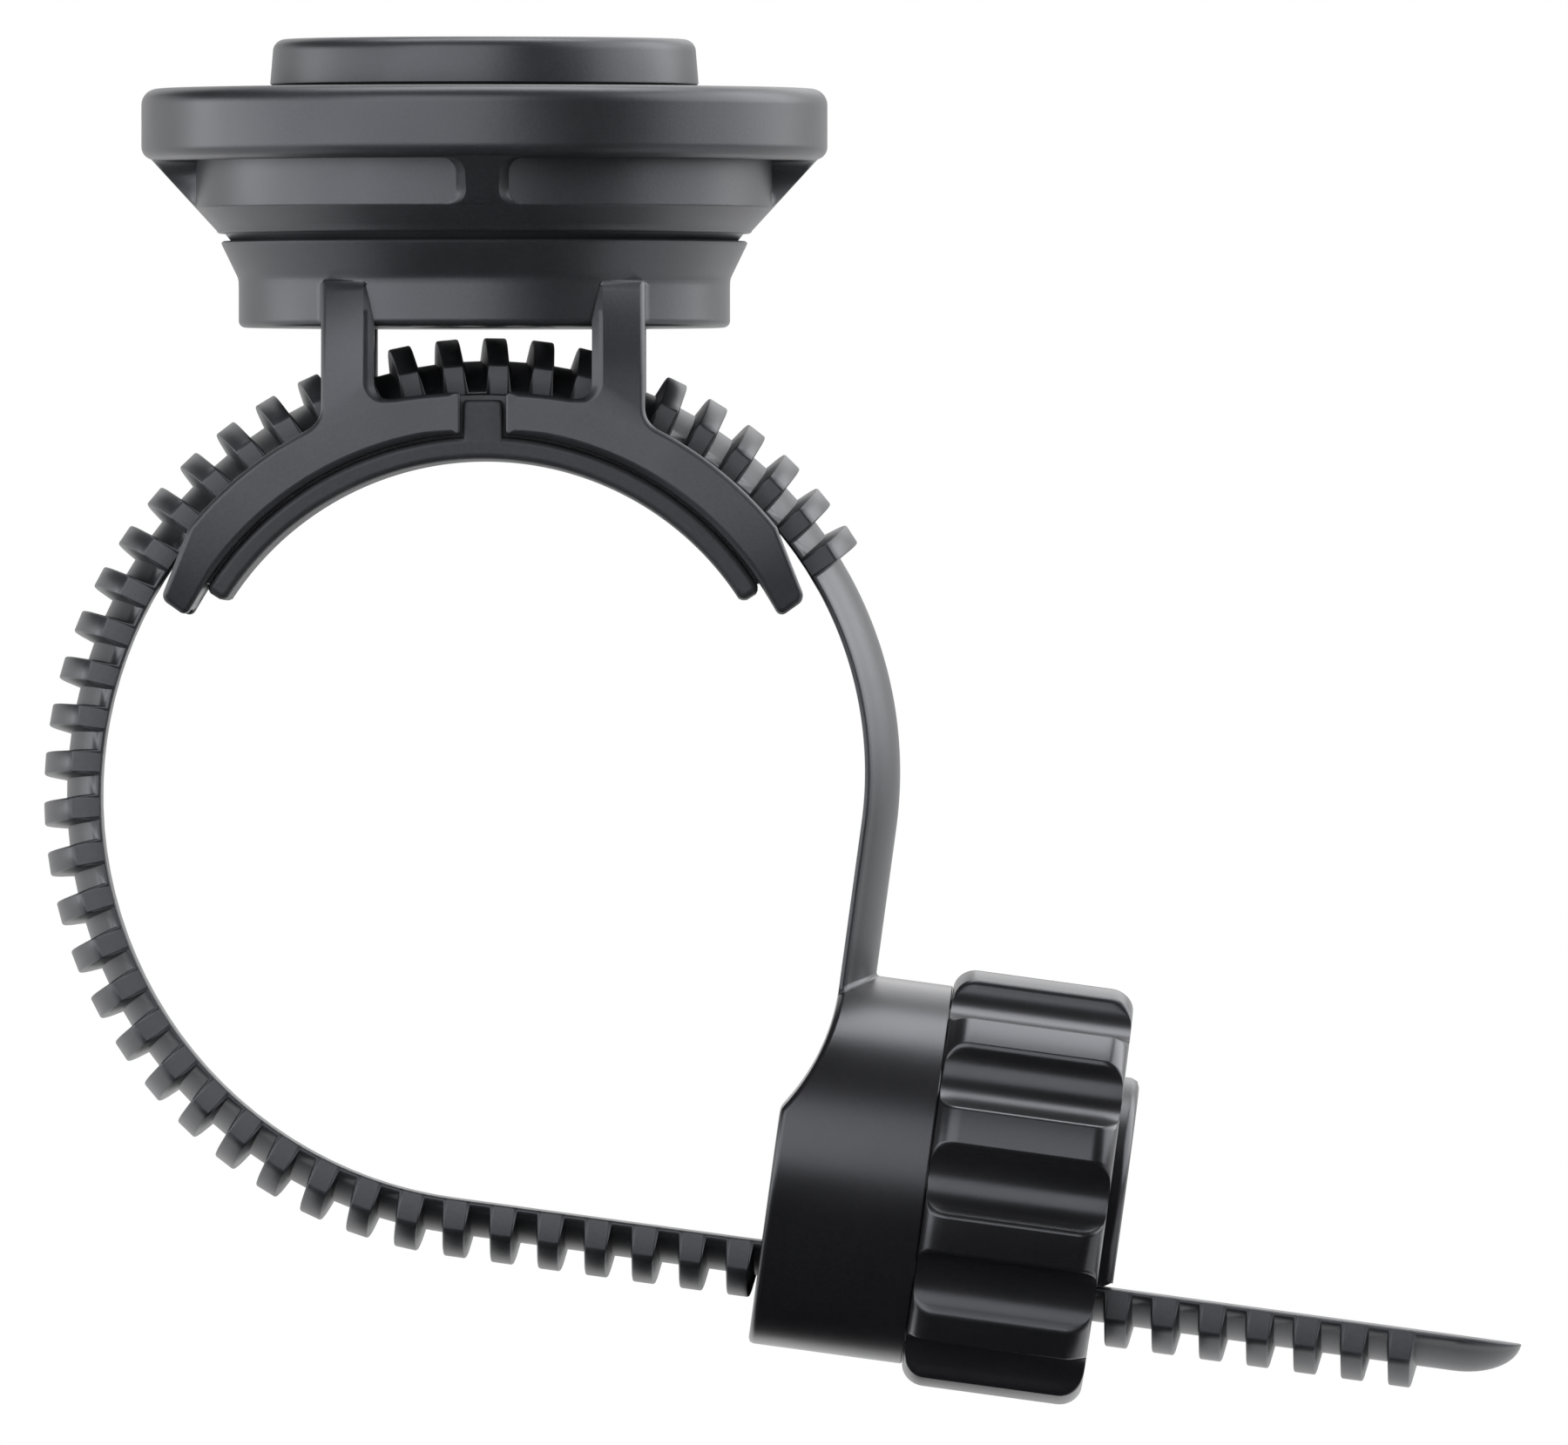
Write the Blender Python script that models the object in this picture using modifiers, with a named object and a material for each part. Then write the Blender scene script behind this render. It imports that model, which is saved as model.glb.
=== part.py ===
"""Phone handlebar mount.

A phone head swivels on a saddle bracket. A toothed strap runs through the bracket, round
the handlebar and through a clamp block, where a threaded knob draws it tight.

Units are metres and degrees, +Z is up. The origin is the centre of the handlebar, which
runs along Y. The strap lies in the XZ plane and its tail leaves towards +X.
"""

import math

import bmesh
import bpy
from mathutils import Matrix, Vector

# Clearances
SEAT_GAP = 0.00015
RUN_GAP = 0.0003
FLANK_GAP = 0.0002

# Rubber pad on the handlebar
BAR_DIAMETER = 0.0318
PAD_THICKNESS = 0.0012
PAD_HALF_ANGLE = 58.0
PAD_WIDTH = 0.0236
PAD_EDGE = 0.0003
TAB_WIDTH = 0.00196
TAB_DEPTH = 0.0022
TAB_RISE = 0.0019

# Saddle, an arch over the pad with a shallow channel for the strap
SADDLE_THICKNESS = 0.00245
SADDLE_FLOOR = 0.00172
SADDLE_HALF_ANGLE = 62.5
SADDLE_TIP_TAPER = 11.0
SADDLE_TIP_DROP = 0.0008
SADDLE_TIP_EDGE = 0.0005
SADDLE_WIDTH = 0.0245

# Posts that carry the collar over the strap
POST_OUTER_X = 0.00846
POST_INNER_X = 0.00571
POST_DEPTH = 0.0034
POST_SWEEP_RADIUS = 0.017
POST_SWEEP_LEAD = 0.00005
POST_CHAMFER = 0.00064
POST_RISE_IN_COLLAR = 0.0024
POST_OUTER_FILLET = 0.0013
POST_INNER_FILLET = 0.0008

# Toothed strap, half round on its outer side
STRAP_WIDTH = 0.0088
STRAP_EDGE = 0.0003
ROOT_THICKNESS = 0.00185
TOOTH_HEIGHT = 0.0012
TOOTH_PITCH = 0.0025
TOOTH_BASE = 0.00145
TOOTH_CROWN = 0.0011
TOOTH_PHASE = 0.0005
FIRST_TOOTH = -37
TAIL_TEETH = 20
BAND_LEAD = 0.0019
TIP_PLAIN = 0.0002
TIP_TAPER = 0.0034
TIP_WIDTH = 0.0035

# Path of the strap's inner face: a top arc, a wider left arc and two straights
STRAP_CENTRE_X = 0.00025
STRAP_CENTRE_Z = -0.00045
LEFT_SLACK = 0.0016
JOIN_ANGLE = 129.6
TAIL_TILT = 7.8

# Stretches of the loop from the tail back to the neck: the angle where each ends, and the
# radius at which its teeth keep their pitch, as the bent strap opens or closes them a little
LOOP_STRETCHES = ((176.0, 0.02295), (JOIN_ANGLE, 0.02368), (83.0, 0.02242), (-TAIL_TILT, 0.02312))

# Collar on top of the posts
TUNNEL_GAP = 0.00055
COLLAR_HEIGHT = 0.00453
COLLAR_RADIUS = 0.01289
COLLAR_TOP_RADIUS = 0.0138
COLLAR_FLARE = 0.0019
COLLAR_EDGE = 0.00035

# Swivel between the collar and the head
SWIVEL_GAP = 0.0004
SLIP_WASHER_THICKNESS = 0.0005
SLIP_WASHER_WIDTH = 0.0022
SPIGOT_WALL = 0.00075
SPIGOT_DEPTH = 0.0014
SCREW_RADIUS = 0.002
SCREW_HEAD_RADIUS = 0.0035
SCREW_HEAD_HEIGHT = 0.0014
SCREW_EDGE = 0.00035
SCREW_SOCKET_RADIUS = 0.0014
SCREW_SOCKET_DEPTH = 0.0009
WAVE_WASHER_THICKNESS = 0.0003
WAVE_WASHER_RISE = 0.00012
WAVE_WASHER_WAVES = 3
WAVE_WASHER_SPLIT = 10.0
NUT_ACROSS_FLATS = 0.007
NUT_HEIGHT = 0.0022

# Head: a flange on a ribbed cone, with a boss that the phone case docks on
CONE_HEIGHT = 0.0039
CONE_RADIUS = 0.01405
CONE_TOP_RADIUS = 0.0175
CONE_EDGE = 0.00015
FLANGE_RADIUS = 0.018
FLANGE_THICKNESS = 0.0037
FLANGE_CHAMFER = 0.0006
FLANGE_ROUND = 0.00085
RIB_COUNT = 4
RIB_FRONT_WIDTH = 0.0018
RIB_BACK_WIDTH = 0.0033
POCKET_RADIUS = 0.01517
POCKET_TOP = 0.0001
HEAD_FLOOR = 0.0038
BOSS_RADIUS = 0.01125
BOSS_HEIGHT = 0.0026
BOSS_DRAFT = 0.00015
BOSS_ROUND = 0.00065

# Boss cap, its magnets and its screws
CAP_SKIRT_RADIUS = 0.0103
CAP_SKIRT_WALL = 0.0006
CAP_TOP_WALL = 0.0008
MAGNET_RADIUS = 0.0025
MAGNET_HEIGHT = 0.002
MAGNET_WALL = 0.00035
MAGNET_PAIRS = 3
YOKE_THICKNESS = 0.0008
CAP_POST_RADIUS = 0.0016
CAP_SCREW_RADIUS = 0.0008
CAP_SCREW_HEAD_RADIUS = 0.0015
CAP_SCREW_HEAD_HEIGHT = 0.0009
CAP_SCREW_LENGTH = 0.006

# Clamp block and the core that the knob turns on
AXIS_HEIGHT = 0.00458
BLOCK_WALL = 0.00207
BLOCK_LEAD = 0.0022
BLOCK_TRAIL = 0.0056
BLOCK_EDGE = 0.0005
SCALLOP_RADIUS = 0.0111
SCALLOP_DROP = 0.0009
CORE_RADIUS = 0.0062
CORE_PROUD = 0.0006
CORE_EDGE = 0.0003
COLLET_WALL = 0.0007
COLLET_LENGTH = 0.0022

# Knob, a fluted nut that runs on the strap's teeth
KNOB_GAP = 0.00035
KNOB_LENGTH = 0.0095
KNOB_RADIUS = 0.01116
KNOB_ROUND = 0.0012
KNOB_WALL = 0.00197
THREAD_SEAT = 0.0005
FLUTE_COUNT = 12
FLUTE_RADIUS = 0.00212
RING_HEIGHT = 0.0005
RING_DEPTH = 0.0004
RING_SPLIT = 24.0

# Facets
TURN_STEPS = 36
SMALL_STEPS = 16
ARCH_STEPS = 24
STRAP_STEPS = 4
THREAD_STEPS = 24
SCALLOP_STEPS = 60
FILLET_STEPS = 5
ROUND_STEPS = 3
NECK_STEPS = 8
HEXAGON = 6
DIAMOND = 4
SHARP_ANGLE = 30.0
MERGE_DISTANCE = 0.000001

# Stations of the rounded ends, as shares of their length
TIP_STATIONS = (0.0, 0.4, 0.7, 0.9, 0.98)
KNOB_STATIONS = (0.0, 0.12, 0.45, 1.0)

# Angles of the points across one flute and the ridge beside it, from the flute's middle
FLUTE_ANGLES = (-9.6, -6.8, -3.5, 0.0, 3.5, 6.8, 9.6, 15.0)

# Colours and finish of each material: linear RGB, roughness, metallic
FINISHES = {
    "charcoal_nylon": ((0.040, 0.041, 0.045), 0.46, 0.0),
    "black_nylon": ((0.012, 0.012, 0.014), 0.34, 0.0),
    "black_rubber": ((0.018, 0.018, 0.019), 0.62, 0.0),
    "black_acetal": ((0.016, 0.016, 0.017), 0.45, 0.0),
    "zinc_plated_steel": ((0.560, 0.570, 0.580), 0.32, 1.0),
    "nickel_plate": ((0.660, 0.640, 0.610), 0.22, 1.0),
}

# Radii about the handlebar's centre
PAD_INNER = BAR_DIAMETER / 2
PAD_OUTER = PAD_INNER + PAD_THICKNESS
SADDLE_INNER = PAD_OUTER + SEAT_GAP
SADDLE_OUTER = SADDLE_INNER + SADDLE_THICKNESS

# Strap path: directions along and across the tail, arc centres and radii
TILT = math.radians(TAIL_TILT)
ALONG = Vector((math.cos(TILT), 0.0, -math.sin(TILT)))
ACROSS = Vector((math.sin(TILT), 0.0, math.cos(TILT)))
TOP_RADIUS = SADDLE_INNER + SADDLE_FLOOR + RUN_GAP - STRAP_CENTRE_Z
TOP_CENTRE = Vector((STRAP_CENTRE_X, 0.0, STRAP_CENTRE_Z))
LEFT_RADIUS = TOP_RADIUS + LEFT_SLACK


def direction(degrees):
    """Unit vector in the XZ plane at an angle from +X towards +Z."""
    return Vector((math.cos(math.radians(degrees)), 0.0, math.sin(math.radians(degrees))))


LEFT_CENTRE = TOP_CENTRE - direction(JOIN_ANGLE) * LEFT_SLACK
TAIL_START = LEFT_CENTRE - ACROSS * LEFT_RADIUS
NECK_T = (TOP_CENTRE - TAIL_START).dot(ALONG) + TOP_RADIUS
LOOP_START = 270 - TAIL_TILT
LOOP_ENDS = (LOOP_START, *(end for end, pitch_radius in LOOP_STRETCHES))
LOOP_LENGTH = sum(stretch[1] * math.radians(start - stretch[0])
                  for start, stretch in zip(LOOP_ENDS, LOOP_STRETCHES))
BAND_START = TOOTH_PHASE + FIRST_TOOTH * TOOTH_PITCH - BAND_LEAD
TIP_START = TOOTH_PHASE + (TAIL_TEETH + 1) * TOOTH_PITCH

# Radii about the knob's axis
CROWN_RADIUS = AXIS_HEIGHT + ROOT_THICKNESS + TOOTH_HEIGHT
ROOT_RADIUS = max(AXIS_HEIGHT + ROOT_THICKNESS, math.hypot(STRAP_WIDTH / 2, AXIS_HEIGHT + STRAP_EDGE))
THREAD_MAJOR = CROWN_RADIUS + RUN_GAP
THREAD_MINOR = ROOT_RADIUS + FLANK_GAP
COLLET_INNER = THREAD_MAJOR + SEAT_GAP
COLLET_OUTER = COLLET_INNER + COLLET_WALL
BLOCK_RADIUS = THREAD_MAJOR + BLOCK_WALL
FLUTE_FLOOR = THREAD_MAJOR + KNOB_WALL
FLUTE_CENTRE = FLUTE_FLOOR + FLUTE_RADIUS

# Places along the knob's axis, measured from the start of the tail
BLOCK_START = NECK_T - BLOCK_LEAD
BLOCK_END = NECK_T + BLOCK_TRAIL
KNOB_START = BLOCK_END + KNOB_GAP
KNOB_END = KNOB_START + KNOB_LENGTH
CORE_END = KNOB_END + CORE_PROUD
COLLET_END = BLOCK_END + COLLET_LENGTH
RING_MIDDLE = (KNOB_START + COLLET_END) / 2

# Radii about the head's axis
CAP_RECESS = CAP_SKIRT_RADIUS - CAP_SKIRT_WALL
CAVITY_RADIUS = CAP_SKIRT_RADIUS + SEAT_GAP
MAGNET_CIRCLE = CAP_RECESS - MAGNET_WALL - SEAT_GAP - MAGNET_RADIUS
MAGNET_SPREAD = math.degrees(math.asin((MAGNET_RADIUS + SEAT_GAP + MAGNET_WALL / 2) / MAGNET_CIRCLE))
CAP_POST_CIRCLE = CAP_RECESS - 2 * MAGNET_WALL - CAP_POST_RADIUS
SPIGOT_RADIUS = CAP_POST_CIRCLE + CAP_SCREW_HEAD_RADIUS + SEAT_GAP + SPIGOT_WALL
SLIP_WASHER_BORE = SPIGOT_RADIUS + RUN_GAP + SEAT_GAP
SLIP_WASHER_RADIUS = SLIP_WASHER_BORE + SLIP_WASHER_WIDTH

# Heights of the collar and the head
COLLAR_BOTTOM = STRAP_CENTRE_Z + TOP_RADIUS + ROOT_THICKNESS + TOOTH_HEIGHT + TUNNEL_GAP
COLLAR_TOP = COLLAR_BOTTOM + COLLAR_HEIGHT
HEAD_BOTTOM = COLLAR_TOP + SWIVEL_GAP
SPIGOT_BOTTOM = HEAD_BOTTOM - SPIGOT_DEPTH
WELL_FLOOR = SPIGOT_BOTTOM - RUN_GAP
FLANGE_UNDER = HEAD_BOTTOM + CONE_HEIGHT
FLANGE_TOP = FLANGE_UNDER + FLANGE_THICKNESS
BOSS_BOTTOM = FLANGE_TOP + SEAT_GAP
BOSS_TOP = FLANGE_TOP + BOSS_HEIGHT
CAVITY_FLOOR = SPIGOT_BOTTOM + HEAD_FLOOR
MAGNET_TOP = BOSS_TOP - CAP_TOP_WALL - SEAT_GAP
MAGNET_BOTTOM = MAGNET_TOP - MAGNET_HEIGHT
CAP_CEILING = MAGNET_BOTTOM - SEAT_GAP
YOKE_TOP = CAP_CEILING - SEAT_GAP
YOKE_BOTTOM = YOKE_TOP - YOKE_THICKNESS
CAP_POST_BOTTOM = CAVITY_FLOOR + SEAT_GAP
CAP_SCREW_SEAT = SPIGOT_BOTTOM + CAP_SCREW_HEAD_HEIGHT + 2 * SEAT_GAP

# Heights of the swivel screw, which enters from under the collar
SCREW_BOTTOM = COLLAR_BOTTOM + SEAT_GAP
SCREW_SHOULDER = SCREW_BOTTOM + SCREW_HEAD_HEIGHT
WAVE_WASHER_BOTTOM = SCREW_SHOULDER + SEAT_GAP
WAVE_WASHER_TOP = WAVE_WASHER_BOTTOM + WAVE_WASHER_THICKNESS + 2 * WAVE_WASHER_RISE
SCREW_POCKET_TOP = WAVE_WASHER_TOP + SEAT_GAP
NUT_POCKET_FLOOR = CAVITY_FLOOR - NUT_HEIGHT - 2 * SEAT_GAP
SCREW_TOP = CAVITY_FLOOR + SEAT_GAP


def clear_scene():
    """Remove every object that the file holds."""
    for leftover in list(bpy.data.objects):
        bpy.data.objects.remove(leftover)


clear_scene()
PARTS = bpy.data.collections.new("phone_handlebar_mount")
CUTTERS = bpy.data.collections.new("cutters")
bpy.context.scene.collection.children.link(PARTS)
bpy.context.scene.collection.children.link(CUTTERS)


def make_material(name):
    """A Principled BSDF material from the table of finishes."""
    colour, roughness, metallic = FINISHES[name]
    material = bpy.data.materials.new(name)
    material.use_nodes = True
    shader = material.node_tree.nodes["Principled BSDF"]
    shader.inputs["Base Color"].default_value = (*colour, 1.0)
    shader.inputs["Roughness"].default_value = roughness
    shader.inputs["Metallic"].default_value = metallic
    return material


MATERIALS = {name: make_material(name) for name in FINISHES}


def make_axis(name, location, rotation=(0.0, 0.0, 0.0)):
    """An empty on a joint's axis, which carries the pieces that move about it."""
    axis = bpy.data.objects.new(name, None)
    axis.location = location
    axis.rotation_euler = rotation
    PARTS.objects.link(axis)
    return axis


HEAD_AXIS = make_axis("head_axis", (0.0, 0.0, HEAD_BOTTOM))
STRAP_AXIS = make_axis("strap_axis", TOP_CENTRE)
# On this axis local Z runs along the tail and local X points at the strap's teeth
SCREW_AXIS = make_axis("screw_axis", TAIL_START + ACROSS * AXIS_HEIGHT, (0.0, math.pi / 2 + TILT, 0.0))


def add_object(name, mesh, finish=None, axis=None, local=False):
    """Put a mesh in the scene as a part, or as a hidden cutter if it has no finish.

    A piece made in world coordinates keeps its place under its axis. A local one is placed
    in the axis's own coordinates.
    """
    piece = bpy.data.objects.new(name, mesh)
    if finish is None:
        CUTTERS.objects.link(piece)
        piece.hide_render = True
        piece.display_type = "WIRE"
    else:
        PARTS.objects.link(piece)
        mesh.materials.append(MATERIALS[finish])
        mesh.shade_smooth()
        mesh.set_sharp_from_angle(angle=math.radians(SHARP_ANGLE))
    if axis is not None:
        piece.parent = axis
        if not local:
            bpy.context.view_layer.update()
            piece.matrix_parent_inverse = axis.matrix_world.inverted()
    return piece


def arc(centre_x, centre_z, radius, start, end, steps):
    """Points on an arc in a plane, from one angle to another in degrees."""
    angles = [math.radians(start + (end - start) * i / steps) for i in range(steps + 1)]
    return [(centre_x + radius * math.cos(a), centre_z + radius * math.sin(a)) for a in angles]


def turned_mesh(name, profile, steps, closed):
    """Turn a profile of (radius, height) points, given down its outer side, about Z."""
    mesh = bpy.data.meshes.new(name)
    edges = [(i, i + 1) for i in range(len(profile) - 1)]
    if closed:
        edges.append((len(profile) - 1, 0))
    mesh.from_pydata([(radius, 0.0, height) for radius, height in profile], edges, [])
    blank = bpy.data.objects.new(name, mesh)
    bpy.context.scene.collection.objects.link(blank)
    screw = blank.modifiers.new("turn", "SCREW")
    screw.axis = "Z"
    screw.steps = steps
    screw.render_steps = steps
    screw.use_merge_vertices = True
    screw.merge_threshold = MERGE_DISTANCE
    return baked_mesh(blank, name)


def baked_mesh(blank, name):
    """The evaluated mesh of a blank, welded, in world coordinates; the blank is removed."""
    bpy.context.view_layer.update()
    evaluated = blank.evaluated_get(bpy.context.evaluated_depsgraph_get())
    mesh = bpy.data.meshes.new_from_object(evaluated)
    mesh.name = name
    mesh.transform(blank.matrix_world)
    bpy.data.objects.remove(blank)
    solid = bmesh.new()
    solid.from_mesh(mesh)
    bmesh.ops.remove_doubles(solid, verts=solid.verts, dist=MERGE_DISTANCE)
    bmesh.ops.recalc_face_normals(solid, faces=solid.faces)
    solid.to_mesh(mesh)
    solid.free()
    return mesh


def plate_mesh(name, outline, half_depth, middle=0.0):
    """A flat outline of (x, z) points, extruded along Y about a middle plane."""
    curve = bpy.data.curves.new(name, "CURVE")
    curve.dimensions = "2D"
    curve.fill_mode = "BOTH"
    curve.extrude = half_depth
    spline = curve.splines.new("POLY")
    spline.points.add(len(outline) - 1)
    for point, (x, z) in zip(spline.points, outline):
        point.co = (x, z, 0.0, 1.0)
    spline.use_cyclic_u = True
    blank = bpy.data.objects.new(name, curve)
    blank.rotation_euler = (math.pi / 2, 0.0, 0.0)
    blank.location = (0.0, middle, 0.0)
    bpy.context.scene.collection.objects.link(blank)
    return baked_mesh(blank, name)


def loft_mesh(name, rings):
    """Skin rings of matching points and cap the first and the last."""
    solid = bmesh.new()
    loops = [[solid.verts.new(point) for point in ring] for ring in rings]
    count = len(loops[0])
    for near, far in zip(loops, loops[1:]):
        for i in range(count):
            j = (i + 1) % count
            solid.faces.new((near[i], near[j], far[j], far[i]))
    solid.faces.new(loops[0])
    solid.faces.new(loops[-1])
    bmesh.ops.recalc_face_normals(solid, faces=solid.faces)
    mesh = bpy.data.meshes.new(name)
    solid.to_mesh(mesh)
    solid.free()
    return mesh


def box_mesh(name, low, high):
    """A box between two corners."""
    solid = bmesh.new()
    bmesh.ops.create_cube(solid, size=1.0)
    size = [b - a for a, b in zip(low, high)]
    middle = [(a + b) / 2 for a, b in zip(low, high)]
    bmesh.ops.scale(solid, vec=size, verts=solid.verts)
    bmesh.ops.translate(solid, vec=middle, verts=solid.verts)
    mesh = bpy.data.meshes.new(name)
    solid.to_mesh(mesh)
    solid.free()
    return mesh


def rod_mesh(name, radius, bottom, top, steps=SMALL_STEPS):
    """A rod on the Z axis between two heights, such as a hexagon with six steps."""
    solid = bmesh.new()
    bmesh.ops.create_cone(solid, cap_ends=True, segments=steps, radius1=radius, radius2=radius,
                          depth=top - bottom)
    bmesh.ops.translate(solid, vec=(0.0, 0.0, (bottom + top) / 2), verts=solid.verts)
    mesh = bpy.data.meshes.new(name)
    solid.to_mesh(mesh)
    solid.free()
    return mesh


def combine(piece, tool, operation):
    """Add a Boolean modifier that cuts a tool from a piece or joins it on."""
    boolean = piece.modifiers.new(tool.name, "BOOLEAN")
    boolean.operation = operation
    boolean.object = tool
    boolean.solver = "EXACT"


def cut(piece, mesh, axis=None, local=False):
    """Cut a mesh out of a piece."""
    combine(piece, add_object("cut_" + mesh.name, mesh, axis=axis, local=local), "DIFFERENCE")


def join(piece, mesh, axis=None, local=False):
    """Join a mesh on to a piece."""
    combine(piece, add_object("add_" + mesh.name, mesh, axis=axis, local=local), "UNION")


def moved(mesh, x=0.0, y=0.0, z=0.0):
    """The same mesh, shifted."""
    mesh.transform(Matrix.Translation((x, y, z)))
    return mesh


def ring_place(radius, degrees):
    """X and Y of a point on a circle about the Z axis."""
    return radius * math.cos(math.radians(degrees)), radius * math.sin(math.radians(degrees))


def rim_point(radius, degrees):
    """A point of an outline at an angle about the handlebar's centre, as (x, z)."""
    place = direction(degrees) * radius
    return place.x, place.z


def band_outline(inner, outer, half_angle, taper, drop, edge):
    """An arch about the handlebar between two radii.

    Near each tip the outer side runs straight inwards by a drop over a taper in degrees, and
    the tip's inner corner is cut off by an edge.
    """
    turn = math.degrees(edge / inner)
    left, right = 90 + half_angle, 90 - half_angle
    outline = arc(0, 0, outer, right + taper, left - taper, ARCH_STEPS)
    outline += [rim_point(outer - drop, left), rim_point(inner + edge, left)]
    outline += arc(0, 0, inner, left - turn, right + turn, ARCH_STEPS)
    outline += [rim_point(inner + edge, right), rim_point(outer - drop, right)]
    return outline


def post_outline(side):
    """A post with a fillet on each side where it stands on the arch, on one side of the head."""
    outer_x = POST_OUTER_X + POST_OUTER_FILLET
    outer_z = math.sqrt((SADDLE_OUTER + POST_OUTER_FILLET) ** 2 - outer_x ** 2)
    inner_x = POST_INNER_X - POST_INNER_FILLET
    inner_z = math.sqrt((SADDLE_OUTER + POST_INNER_FILLET) ** 2 - inner_x ** 2)
    outer_angle = math.degrees(math.atan2(outer_z, outer_x))
    inner_angle = math.degrees(math.atan2(inner_z, inner_x))
    buried = SADDLE_OUTER - SADDLE_THICKNESS / 2
    top = COLLAR_BOTTOM + POST_RISE_IN_COLLAR
    outline = [(POST_INNER_X, top), (POST_OUTER_X, top)]
    outline += arc(outer_x, outer_z, POST_OUTER_FILLET, 180, 180 + outer_angle, FILLET_STEPS)
    outline += arc(0, 0, buried, outer_angle, inner_angle, ROUND_STEPS)
    outline += arc(inner_x, inner_z, POST_INNER_FILLET, 180 + inner_angle, 360, FILLET_STEPS)
    return [(side * x, z) for x, z in outline]


def build_bracket():
    """The saddle bracket: the arch, four posts and the collar, in one moulding."""
    half_width = SADDLE_WIDTH / 2
    arch = band_outline(SADDLE_INNER, SADDLE_OUTER, SADDLE_HALF_ANGLE,
                        SADDLE_TIP_TAPER, SADDLE_TIP_DROP, SADDLE_TIP_EDGE)
    plate = plate_mesh("saddle_bracket", arch, half_width)
    bracket = add_object("saddle_bracket", plate, "charcoal_nylon")

    # The channel's floor is round about the strap's own centre
    floor = TOP_RADIUS - RUN_GAP
    clear = SADDLE_OUTER + SADDLE_THICKNESS
    channel = arc(TOP_CENTRE.x, TOP_CENTRE.z, floor, 0, 180, ARCH_STEPS)
    channel += arc(TOP_CENTRE.x, TOP_CENTRE.z, clear, 180, 0, ARCH_STEPS)
    cut(bracket, plate_mesh("channel", channel, STRAP_WIDTH / 2 + RUN_GAP))

    slot_half = TAB_WIDTH / 2 + RUN_GAP
    slot_depth = half_width - PAD_WIDTH / 2 + TAB_DEPTH + RUN_GAP
    for name, side in (("front", -1), ("back", 1)):
        outside, inside = side * (half_width + TAB_DEPTH), side * (half_width - slot_depth)
        low = (-slot_half, min(outside, inside), SADDLE_INNER / 2)
        high = (slot_half, max(outside, inside), SADDLE_OUTER + SADDLE_THICKNESS)
        cut(bracket, box_mesh("tab_slot_" + name, low, high))

    for name, side in (("left", -1), ("right", 1)):
        for face, depth in (("front", -1), ("back", 1)):
            middle = depth * (half_width - POST_DEPTH / 2)
            post = plate_mesh("post_" + face + "_" + name, post_outline(side), POST_DEPTH / 2, middle)
            join(bracket, post)
    for face, depth in (("front", -1), ("back", 1)):
        cut(bracket, post_sweep("post_sweep_" + face, depth))
    join(bracket, turned_mesh("collar", collar_profile(), TURN_STEPS, closed=True))
    for name, side in (("left", -1), ("right", 1)):
        for face, depth in (("front", -1), ("back", 1)):
            cut(bracket, post_chamfer("post_chamfer_" + face + "_" + name, side, depth * half_width))


def post_sweep(name, depth):
    """The space in front of a pair of posts, whose faces curve back from the saddle to the collar."""
    front = SADDLE_WIDTH / 2 + POST_SWEEP_LEAD
    outside = front + POST_DEPTH
    reach = math.degrees(math.asin((COLLAR_TOP - SADDLE_OUTER) / POST_SWEEP_RADIUS))
    outline = arc(front - POST_SWEEP_RADIUS, SADDLE_OUTER, POST_SWEEP_RADIUS, 0, reach, FILLET_STEPS)
    outline += [(outside, COLLAR_TOP), (outside, SADDLE_OUTER)]
    mesh = plate_mesh(name, outline, 2 * POST_OUTER_X)
    mesh.transform(Matrix.Rotation(depth * math.pi / 2, 4, "Z"))
    return mesh


def post_chamfer(name, side, face_y):
    """A diamond bar that bevels the inner edge of a post below the collar."""
    bottom = SADDLE_OUTER
    top = COLLAR_BOTTOM - COLLAR_EDGE
    bar = rod_mesh(name, POST_CHAMFER, bottom, top, DIAMOND)
    return moved(bar, side * POST_INNER_X, face_y)


def collar_profile():
    """The collar: a flared wall, a well for the head's spigot and a pocket for the screw head."""
    rebate_radius = SLIP_WASHER_RADIUS + SEAT_GAP
    rebate = COLLAR_TOP - (SLIP_WASHER_THICKNESS + 2 * SEAT_GAP - SWIVEL_GAP)
    pocket = SCREW_HEAD_RADIUS + RUN_GAP
    hole = SCREW_RADIUS + RUN_GAP
    well = SPIGOT_RADIUS + RUN_GAP
    return [
        (rebate_radius, COLLAR_TOP),
        (COLLAR_TOP_RADIUS, COLLAR_TOP),
        (COLLAR_RADIUS, COLLAR_TOP - COLLAR_FLARE),
        (COLLAR_RADIUS, COLLAR_BOTTOM + COLLAR_EDGE),
        (COLLAR_RADIUS - COLLAR_EDGE, COLLAR_BOTTOM),
        (pocket, COLLAR_BOTTOM),
        (pocket, SCREW_POCKET_TOP),
        (hole, SCREW_POCKET_TOP),
        (hole, WELL_FLOOR),
        (well, WELL_FLOOR),
        (well, rebate),
        (rebate_radius, rebate),
    ]


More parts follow.
